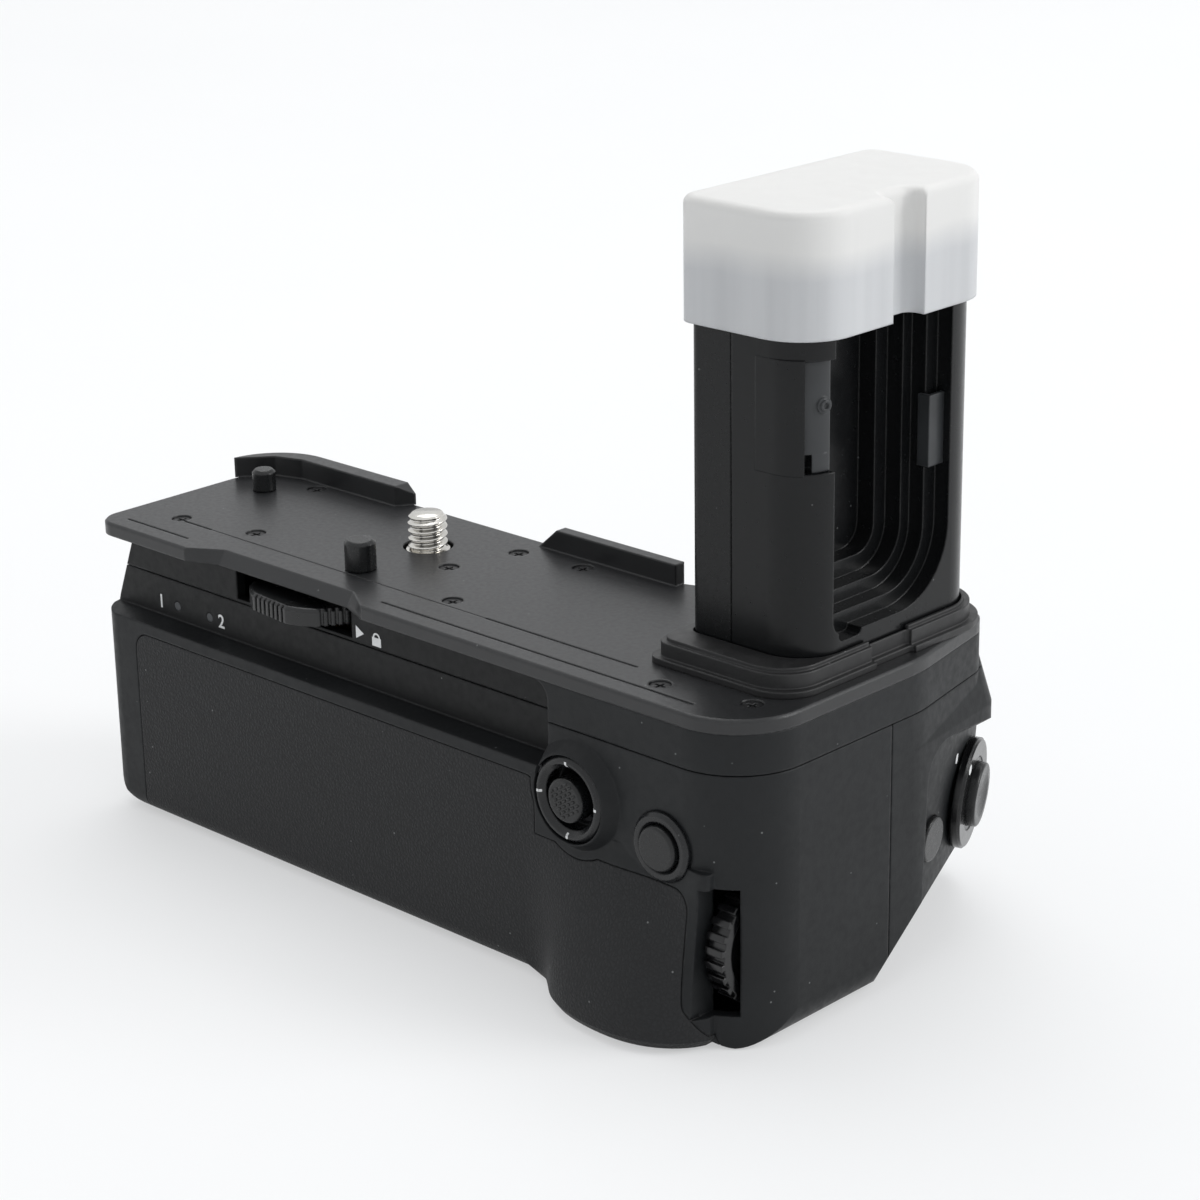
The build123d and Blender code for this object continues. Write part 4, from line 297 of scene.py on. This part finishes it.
PLASTIC = surface("housing_plastic", (0.0105, 0.0115, 0.0125), 0.46, 2600.0, 0.014, dust=0.35, edge=0.3,
                  spread=0.12, specular=0.23, bevel=0.5, patch=STRIP_AREA, patch_color=BLACK)
SEAT = surface("seat_plastic", (0.014, 0.0145, 0.0155), 0.34, 4200.0, 0.008, dust=0.3, edge=0.4,
               spread=0.06, specular=0.5, bevel=0.5)
RUBBER = pebbled("grip_rubber", (0.0125, 0.013, 0.014))
STALK = surface("stalk_plastic", STALK_BLACK, 0.26, 3000.0, 0.005, dust=0.25, edge=0.3, spread=0.1,
                specular=0.26)
POCKET = surface("pocket_plastic", STALK_BLACK, 0.24, 3000.0, 0.005, dust=0.2, edge=0.3, spread=0.1,
                 specular=0.26)
SEAL = surface("seal_rubber", (0.009, 0.009, 0.0095), 0.5, 1800.0, 0.02, dust=0.9, edge=0.2, specular=0.6)
BUTTON = surface("button_plastic", (0.008, 0.0085, 0.009), 0.28, 2600.0, 0.003, dust=0.25, edge=0.5,
                 specular=0.4)
BEZEL = surface("bezel_plastic", (0.008, 0.0085, 0.0095), 0.27, 3000.0, 0.005, dust=0.2, edge=0.4,
                specular=0.42)
GLOSS = surface("dial_plastic", (0.004, 0.004, 0.0045), 0.18, 2400.0, 0.005, dust=0.2, edge=0.4)
WHEEL = surface("wheel_plastic", (0.009, 0.0095, 0.01), 0.24, 2600.0, 0.006, edge=0.9)
SCREW = surface("black_screw", (0.02, 0.02, 0.021), 0.4, 2500.0, 0.008, metallic=0.4, edge=0.6)
NICKEL = surface("nickel_thread", (0.74, 0.72, 0.68), 0.22, 900.0, 0.004, spread=0.08, edge=0.1,
                 metallic=1.0, bevel=0.08, stretch=(1.0, 1.0, 6.0))
STEEL = surface("steel", (0.5, 0.5, 0.5), 0.32, 1200.0, 0.004, spread=0.1, metallic=1.0)
SPRING = surface("spring_steel", (0.22, 0.22, 0.23), 0.35, 1200.0, 0.004, spread=0.15, metallic=1.0)
CLIP = surface("clip_dark", (0.03, 0.032, 0.034), 0.34, 1600.0, 0.005, edge=0.3, specular=0.35)
BRASS = surface("brass", (0.7, 0.52, 0.25), 0.3, 1200.0, 0.004, spread=0.12, metallic=1.0)
GOLD = surface("contact_gold", (0.85, 0.62, 0.28), 0.25, 1500.0, 0.003, spread=0.08, metallic=1.0)
BOARD = surface("coated_board", (0.01, 0.07, 0.035), 0.35, 1500.0, 0.006, spread=0.2)
INNER = surface("inner_plastic", (0.04, 0.04, 0.044), 0.5, 2200.0, 0.012)
CASE = surface("battery_case", (0.03, 0.031, 0.034), 0.42, 2600.0, 0.012, dust=0.15)
ALU = surface("turned_metal", (0.6, 0.6, 0.62), 0.3, 1300.0, 0.004, spread=0.08, metallic=1.0)
LENS = surface("lamp_lens", (0.06, 0.065, 0.07), 0.45, 2000.0, 0.004, edge=0.0)
HEAD = surface("head_plastic", (0.014, 0.015, 0.016), 0.42, 2400.0, 0.01, dust=0.2)
WHITE = printed("white_ink", (0.78, 0.79, 0.79))
DARK_INK = printed("dark_ink", (0.006, 0.006, 0.007))
MILKY = milky("milky_cap", head_top=0.0585, painted_light_from=0.0625)

LOOKS = (
    (SEAT, ("seat_plate",)),
    (PLASTIC, ("upper_frame", "rear_shell", "front_shell", "tray_end_cap")),
    (RUBBER, ("rear_rubber", "front_rubber")),
    (SCREW, ("plate_screws", "shell_screws")),
    (BUTTON, ("small_locating_pin", "large_locating_pin", "selector_stem", "selector_cap",
              "thumb_button", "shutter_button", "function_button", "tray_lock_knob")),
    (BRASS, ("screw_bush", "screw_gear", "wheel_gear")),
    (NICKEL, ("mounting_screw",)),
    (WHEEL, ("attachment_wheel",)),
    (STEEL, ("wheel_axle", "gear_bridge", "selector_gimbal", "rear_dial_axle", "front_dial_axle",
             "tray_lock_bolt")),
    (SPRING, ("rear_dial_bracket", "front_dial_bracket")),
    (STALK, ("stalk_inner_shell",)),
    (POCKET, ("stalk_outer_shell",)),
    (CLIP, ("pocket_clip_rear", "pocket_clip_front")),
    (HEAD, ("stalk_head",)),
    (GOLD, ("stalk_terminals", "contact_blades")),
    (BOARD, ("stalk_board", "control_board", "release_board", "main_board")),
    (SEAL, ("stalk_seal",)),
    (MILKY, ("terminal_cap",)),
    (BEZEL, ("selector_bezel", "thumb_collar", "release_collar")),
    (GLOSS, ("rear_dial", "front_dial", "lock_ring")),
    (INNER, ("selector_base", "chamber_frame", "tray_rails", "contact_block", "battery_tray")),
    (CASE, ("battery_1", "battery_2")),
    (LENS, ("lamp_lenses",)),
    (ALU, ("tripod_bush",)),
)
for look, names in LOOKS:
    for node_name in names:
        data = nodes[node_name].data
        data.materials.clear()
        data.materials.append(look)


# Tools for pieces made as mesh
def dress(name, data, look, body):
    """An object from a mesh, with its material and body."""
    data.materials.clear()
    data.materials.append(look)
    obj = bpy.data.objects.new(name, data)
    scene.collection.objects.link(obj)
    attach(obj, body)
    return obj


def mesh_piece(name, bm, look, body, smooth_under=None):
    """A finished piece from a bmesh; faces that meet under the angle in degrees are smooth."""
    data = bpy.data.meshes.new(name)
    bmesh.ops.recalc_face_normals(bm, faces=bm.faces)
    bm.to_mesh(data)
    bm.free()
    if smooth_under:
        data.shade_smooth()
        data.set_sharp_from_angle(angle=math.radians(smooth_under))
    return dress(name, data, look, body)


def facing(side, up, out):
    """Turn that takes X, Y and Z to three directions."""
    return Matrix((side, up, out)).transposed().to_4x4()


def prism(bm, points, low_z, high_z, matrix=Matrix.Identity(4)):
    """A closed outline of (x, y) points in millimetres, drawn up between two heights."""
    rings = [[bm.verts.new(matrix @ Vector((x * MM, y * MM, z * MM))) for x, y in points]
             for z in (low_z, high_z)]
    bm.faces.new(rings[1])
    bm.faces.new(list(reversed(rings[0])))
    for i in range(len(points)):
        k = (i + 1) % len(points)
        bm.faces.new((rings[0][i], rings[0][k], rings[1][k], rings[1][i]))


def slab(bm, matrix, size, edge):
    """A block with rounded edges set by a matrix; size and edge are in millimetres."""
    stretch = Matrix.Diagonal((*(s * MM for s in size), 1.0))
    made = bmesh.ops.create_cube(bm, size=1.0, matrix=matrix @ stretch)
    rims = {e for v in made["verts"] for e in v.link_edges}
    bmesh.ops.bevel(bm, geom=list(rims), offset=edge * MM, segments=2, affect="EDGES")


def on_circle(radius, angle):
    return radius * math.cos(angle), radius * math.sin(angle)


def lathe(bm, outline, steps):
    """Turns a closed outline of (radius, height) in millimetres round Z."""
    rings = []
    for i in range(steps):
        angle = 2 * math.pi * i / steps
        rings.append([bm.verts.new((*on_circle(r * MM, angle), z * MM)) for r, z in outline])
    for i in range(steps):
        a, b = rings[i], rings[(i + 1) % steps]
        for j in range(len(outline)):
            k = (j + 1) % len(outline)
            bm.faces.new((a[j], b[j], b[k], a[k]))


# Mounting screw with its real thread, 20 turns to the inch, its flange and its stem, in millimetres
screw_low, screw_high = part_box("mounting_screw")
thread_radius = 3.175
thread_depth = 0.62
thread_pitch = 1.27
thread_low = -1.2
thread_steps = 96
row_height = 0.055
crest_share = 0.12
flank_share = 0.72
tip_in = 0.75
tip_slope = 1.05
root_radius = thread_radius - thread_depth
axis_radius = 0.0001
stem_low = screw_low.z / MM
stem_steps = 48
shaft_top = screw_high.z / MM
flange_outline = ((root_radius, -1.3), (3.5, -1.3), (3.55, -1.2), (3.55, -0.36), (3.45, -0.31),
                  (root_radius, -0.31))
stem_outline = ((axis_radius, stem_low), (1.42, stem_low), (1.5, stem_low + 0.1), (1.5, -11.4),
                (2.4, -11.4), (2.4, -1.3), (axis_radius, -1.3))
rows = int((shaft_top - thread_low) / row_height)
bm = bmesh.new()
grid = []
for row in range(rows + 1):
    z = thread_low + (shaft_top - thread_low) * row / rows
    line = []
    for i in range(thread_steps):
        phase = (z / thread_pitch - i / thread_steps) % 1.0
        tooth = min(1.0, max(0.0, (abs(phase - 0.5) * 2 - crest_share) / flank_share))
        r = thread_radius - thread_depth * tooth
        r = min(r, thread_radius - tip_in + max(0.0, shaft_top - z) * tip_slope)
        line.append(bm.verts.new((*on_circle(r * MM, 2 * math.pi * i / thread_steps), z * MM)))
    grid.append(line)
for a, b in zip(grid, grid[1:]):
    for i in range(thread_steps):
        k = (i + 1) % thread_steps
        bm.faces.new((a[i], a[k], b[k], b[i]))
bm.faces.new(grid[-1])
bm.faces.new(list(reversed(grid[0])))
lathe(bm, flange_outline, thread_steps)
lathe(bm, stem_outline, stem_steps)
screw = mesh_piece("threaded_screw", bm, NICKEL, "screw", smooth_under=50)
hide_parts("mounting_screw")

# Window in the stalk's rear corner: a cover over its hidden part, and the clip set back in the open
# part, in millimetres and degrees
corner_x, corner_y = 79.7766, -2.9
corner_radius = 6.0
window_low, window_high = 30.45, 46.35
cover_lap = 0.25
cover_reach = 3.2
cover_end = 45
cover_proud = 0.02
cover_depth = 0.3
clip_gap = 0.05
clip_depths = (1.3, 0.75)
clip_angles = (30, 89)
notch_height = 2.7
notch_end = 57
boss_angle = 76
boss_z = 40.0
boss_depth = 0.45
boss_steps = 40
boss_outline = ((0.01, 0.0), (0.4, 0.0), (0.45, 0.3), (0.8, 0.3), (0.85, 0.0), (1.15, 0.0), (1.2, -0.1),
                (1.2, -0.9), (0.01, -0.9))
arc_steps = 20


def arc_wall(bm, inner, outer, start, end, low_z, high_z, lead=0.0):
    """An upright wall along the stalk's rear corner; millimetres, with angles from the rear face."""
    angles = [math.radians(start + (end - start) * i / arc_steps) for i in range(arc_steps + 1)]
    plan = [(corner_x + outer * math.sin(a), corner_y - outer * math.cos(a)) for a in angles]
    plan += [(corner_x + inner * math.sin(a), corner_y - inner * math.cos(a)) for a in reversed(angles)]
    if lead:
        plan = [(corner_x - lead, corner_y - outer)] + plan + [(corner_x - lead, corner_y - inner)]
    prism(bm, plan, low_z, high_z)


bm = bmesh.new()
arc_wall(bm, corner_radius - cover_depth, corner_radius + cover_proud, 0, cover_end,
         window_low - cover_lap, window_high + cover_lap, lead=cover_reach)
mesh_piece("window_cover", bm, POCKET, "base", smooth_under=35)
bm = bmesh.new()
clip_inner, clip_outer = (corner_radius - depth for depth in clip_depths)
for start, low_z, high_z in ((clip_angles[0], window_low + notch_height, window_high - clip_gap),
                             (notch_end, window_low + clip_gap, window_low + notch_height)):
    arc_wall(bm, clip_inner, clip_outer, start, clip_angles[1], low_z, high_z)
before = len(bm.verts)
lathe(bm, boss_outline, boss_steps)
bm.verts.ensure_lookup_table()
lean = math.radians(boss_angle)
boss_out = Vector((math.sin(lean), -math.cos(lean), 0))
boss_place = Vector((corner_x, corner_y, boss_z)) + boss_out * (corner_radius - boss_depth)
upward = Vector((0, 0, 1))
boss_turn = Matrix.Translation(boss_place * MM) @ facing(upward.cross(boss_out), upward, boss_out)
bmesh.ops.transform(bm, matrix=boss_turn, verts=bm.verts[before:])
window_clip = mesh_piece("window_clip", bm, CLIP, "base", smooth_under=35)
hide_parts("pocket_clip_rear")

# Printed marks, in millimetres; digit_share is a digit's height in the font's size
print_thickness = 0.02
digit_share = 0.72
digit_height = 2.3
digit_extrude = 0.01
digit_weight = 0.05


def print_place(place, up=(0, 0, 1), out=(0, -1, 0)):
    """Matrix of a print that lies on a surface."""
    out, up = Vector(out).normalized(), Vector(up).normalized()
    return Matrix.Translation(Vector(place)) @ facing(up.cross(out).normalized(), up, out)


def digit_piece(name, text, place):
    """A plain number as a thin printed piece, centred on a place on the strip."""
    curve = bpy.data.curves.new(name, "FONT")
    curve.body = text
    curve.size = digit_height * MM / digit_share
    curve.align_x = "CENTER"
    curve.align_y = "CENTER"
    curve.extrude = digit_extrude * MM
    curve.offset = digit_weight * MM
    holder = bpy.data.objects.new(name + "_curve", curve)
    data = bpy.data.meshes.new_from_object(holder)
    bpy.data.objects.remove(holder)
    bpy.data.curves.remove(curve)
    data.transform(print_place(place))
    dress(name, data, WHITE, "base")


def flat_piece(name, loops, place, body, look=WHITE):
    """Thin printed shapes from loops of (x, y) points in millimetres, placed by a matrix."""
    bm = bmesh.new()
    for points in loops:
        prism(bm, points, 0, print_thickness, place)
    mesh_piece(name, bm, look, body)


def ring_points(radius, start, end, steps):
    angles = [math.radians(start + (end - start) * i / steps) for i in range(steps + 1)]
    return [on_circle(radius, a) for a in angles]


strip_y = -0.02282
lamp_mark_z = -0.0128
digit_piece("lamp_mark_1", "1", (-0.0403, strip_y, lamp_mark_z))
digit_piece("lamp_mark_2", "2", (-0.0250, strip_y, lamp_mark_z))
arrow = [(-0.75, -1.05), (1.05, 0.0), (-0.75, 1.05)]
flat_piece("turn_mark", [arrow], print_place((0.0085, strip_y, -0.0064)), "base")
lock_top = 0.25
lock_body = [(-1.0, -1.15), (1.0, -1.15), (1.0, lock_top), (-1.0, lock_top)]
shackle = ring_points(0.8, 0, 180, 12) + list(reversed(ring_points(0.5, 0, 180, 12)))
shackle = [(x, y + lock_top) for x, y in shackle]
flat_piece("lock_mark", [lock_body, shackle], print_place((0.0124, strip_y, -0.0066)), "base")

# Selector marks on the bezel's inner slope and over its rim: the middle in metres, sizes in millimetres
selector_middle = Vector((0.0583, 0.0, -0.0182))
rear_way = Vector((0, -1, 0))
tick_width = 0.42
tick_height = 0.06
tick_edge = 0.02
slope_radius, slope_depth, slope_length = 5.3, 28.6, 0.5
rim_radius, rim_depth, rim_length = 5.72, 28.8, 0.44
bm = bmesh.new()
for turn_by in (0, 90, 180, 270):
    radial = Vector((math.sin(math.radians(turn_by)), 0, math.cos(math.radians(turn_by))))
    slope_out = (rear_way - radial).normalized()
    slope_along = (radial + rear_way).normalized()
    for radius, depth, along, out, length in (
            (slope_radius, slope_depth, slope_along, slope_out, slope_length),
            (rim_radius, rim_depth, radial, rear_way, rim_length)):
        place = selector_middle + radial * radius * MM + rear_way * depth * MM
        turn = Matrix.Translation(place) @ facing(along.cross(out), along, out)
        slab(bm, turn, (tick_width, length, tick_height), tick_edge)
mesh_piece("selector_marks", bm, WHITE, "base")

# Selector pad: raised blocks in a slanting grid
cap_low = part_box("selector_cap")[0]
pad_sink = 0.02
pad_step_along, pad_step_across = 1.075, 0.688
pad_reach = 2.75
pad_count = 5
pad_tilt = math.radians(32)
block_size = (0.84, 0.26, 0.44)
block_edge = 0.08
bm = bmesh.new()
for i in range(-pad_count, pad_count + 1):
    for j in range(-pad_count, pad_count + 1):
        u = (i + (0.5 if j % 2 else 0.0)) * pad_step_along
        v = j * pad_step_across
        if math.hypot(u, v) > pad_reach:
            continue
        x = u * math.cos(pad_tilt) - v * math.sin(pad_tilt)
        z = u * math.sin(pad_tilt) + v * math.cos(pad_tilt)
        place = Vector((selector_middle.x + x * MM, cap_low.y + pad_sink * MM, selector_middle.z + z * MM))
        turn = Matrix.Translation(place) @ Matrix.Rotation(-pad_tilt, 4, "Y")
        slab(bm, turn, block_size, block_edge)
mesh_piece("selector_pad", bm, BUTTON, "selector_top")

# Marks on the release's ring and beside it, in the facet's plane: its middle in metres, the marks'
# distances from it in millimetres, and their angles round it in degrees
facet_middle = Vector((0.0829, 0.0321, -0.0292))
facet_out = Vector((0.910729, 0.405483, -0.078459))
facet_x = Vector((-0.406737, 0.913545, 0.0))
facet_y = facet_out.cross(facet_x)
dot_radius = 0.8
dot_angle = 128
hook_angle = 195
body_dot_at, body_dot_lift = 9.9, -0.2
ring_mark_at, ring_mark_lift = 7.2, 1.7


def facet_place(radius, angle, lift):
    """Matrix of a print on the facet; radius and lift in millimetres, angle in degrees."""
    along, across = on_circle(radius * MM, math.radians(angle))
    place = facet_middle + facet_x * along + facet_y * across + facet_out * lift * MM
    return print_place(place, facet_y, facet_out)


dot = ring_points(dot_radius, 0, 345, 23)
flat_piece("body_dot", [dot], facet_place(body_dot_at, dot_angle, body_dot_lift), "base")
flat_piece("ring_dot", [dot], facet_place(ring_mark_at, dot_angle, ring_mark_lift), "ring")
hook = [(-0.9, -0.12), (0.6, -0.12), (0.6, -0.5), (0.85, -0.5),
        (0.85, 0.5), (0.6, 0.5), (0.6, 0.12), (-0.9, 0.12)]
flat_piece("ring_mark", [hook], facet_place(ring_mark_at, hook_angle, ring_mark_lift), "ring", DARK_INK)

# Camera from the fitted view: focal length in pixels of the photo's frame, place in metres
focal_pixels = 3070.0
frame_pixels = 1200.0
sensor = 36.0
camera_place = Vector((0.34228, -0.31519, 0.15571))
right = Vector((0.72302722, 0.6906503, -0.01529039))
up = Vector((-0.22131805, 0.25254677, 0.94193336))
ahead = Vector((-0.6544081, 0.67765942, -0.33545157))
camera_data = bpy.data.cameras.new("photo_camera")
camera_data.sensor_width = sensor
camera_data.lens = focal_pixels / frame_pixels * sensor
camera_data.clip_start = 0.01
camera_data.clip_end = 50.0
camera = bpy.data.objects.new("photo_camera", camera_data)
scene.collection.objects.link(camera)
camera.matrix_world = Matrix.Translation(camera_place) @ facing(right, up, -ahead)
scene.camera = camera


# Floor and backdrop in metres, seen nearly white, with the object's shadow kept
def seen_rays(tree):
    """1 for rays by which the backdrop is seen: direct, in gloss or through glass."""
    path = add_node(tree, "ShaderNodeLightPath")
    seen = math_node(tree, "MAXIMUM", path.outputs["Is Camera Ray"], path.outputs["Is Glossy Ray"])
    return math_node(tree, "MAXIMUM", seen, path.outputs["Is Transmission Ray"])


floor_z = -0.0502
floor_reach = 3.0
floor_half_width = 4.0
curve_start = 1.8
curve_radius = 1.2
backdrop_top = 3.4
floor_dark, floor_pale = (0.86, 0.87, 0.88, 1.0), (0.9, 0.905, 0.91, 1.0)
mottle_scale = 3.0
glow_color = (0.93, 0.935, 0.94, 1.0)
glow_share = 0.5
profile = [(-floor_reach, floor_z)]
for degrees in range(0, 91, 6):
    angle = math.radians(degrees)
    rise = curve_radius * (1 - math.cos(angle))
    profile.append((curve_start + curve_radius * math.sin(angle), floor_z + rise))
profile.append((floor_reach, backdrop_top))
deep = Vector((ahead.x, ahead.y, 0)).normalized()
wide = Vector((-ahead.y, ahead.x, 0)).normalized()
bm = bmesh.new()
lines = []
for distance, height in profile:
    middle = deep * distance + Vector((0, 0, height))
    lines.append([bm.verts.new(middle + wide * side) for side in (-floor_half_width, floor_half_width)])
for a, b in zip(lines, lines[1:]):
    bm.faces.new((a[0], a[1], b[1], b[0]))
floor_data = bpy.data.meshes.new("floor")
bm.to_mesh(floor_data)
bm.free()
floor = bpy.data.objects.new("floor", floor_data)
scene.collection.objects.link(floor)
floor_data.shade_smooth()
floor_look, tree, shader = new_material("pale_floor")
mottle = span(tree, noise(tree, object_coords(tree), mottle_scale, 3.0), NOISE_LOW, NOISE_HIGH)
base = blend_colors(tree, mottle, floor_dark, floor_pale)
tree.links.new(base, shader.inputs["Base Color"])
shader.inputs["Roughness"].default_value = 0.75
shader.inputs["Specular IOR Level"].default_value = 0.2
glow = add_node(tree, "ShaderNodeEmission")
glow.inputs["Color"].default_value = glow_color
mixed = add_node(tree, "ShaderNodeMixShader")
tree.links.new(math_node(tree, "MULTIPLY", seen_rays(tree), glow_share), mixed.inputs[0])
tree.links.new(shader.outputs[0], mixed.inputs[1])
tree.links.new(glow.outputs[0], mixed.inputs[2])
output = next(n for n in tree.nodes if n.type == "OUTPUT_MATERIAL")
tree.links.new(mixed.outputs[0], output.inputs["Surface"])
floor_data.materials.append(floor_look)

# Lamps as (name, place, target, size, power), and the world's strength as light and as seen
lamps = (
    ("overhead", (-0.5, 0.5, 1.7), (0, 0, 0), 1.5, 16.0),
    ("side", (1.3, 0.9, 0.9), (0.05, 0, 0), 0.9, 13.0),
)
for name, place, target, size, power in lamps:
    data = bpy.data.lights.new(name, "AREA")
    data.shape = "DISK"
    data.size = size
    data.energy = power
    lamp = bpy.data.objects.new(name, data)
    lamp.location = place
    lamp.rotation_euler = (Vector(target) - Vector(place)).to_track_quat("-Z", "Y").to_euler()
    lamp.visible_camera = False
    scene.collection.objects.link(lamp)
world_color = (0.97, 0.985, 1.0, 1.0)
world_light = 0.64
world_seen = 0.86
world = bpy.data.worlds.new("studio")
world.use_nodes = True
tree = world.node_tree
background = tree.nodes["Background"]
background.inputs["Color"].default_value = world_color
strength = span(tree, seen_rays(tree), 0.0, 1.0, world_light, world_seen)
tree.links.new(strength, background.inputs["Strength"])
scene.world = world
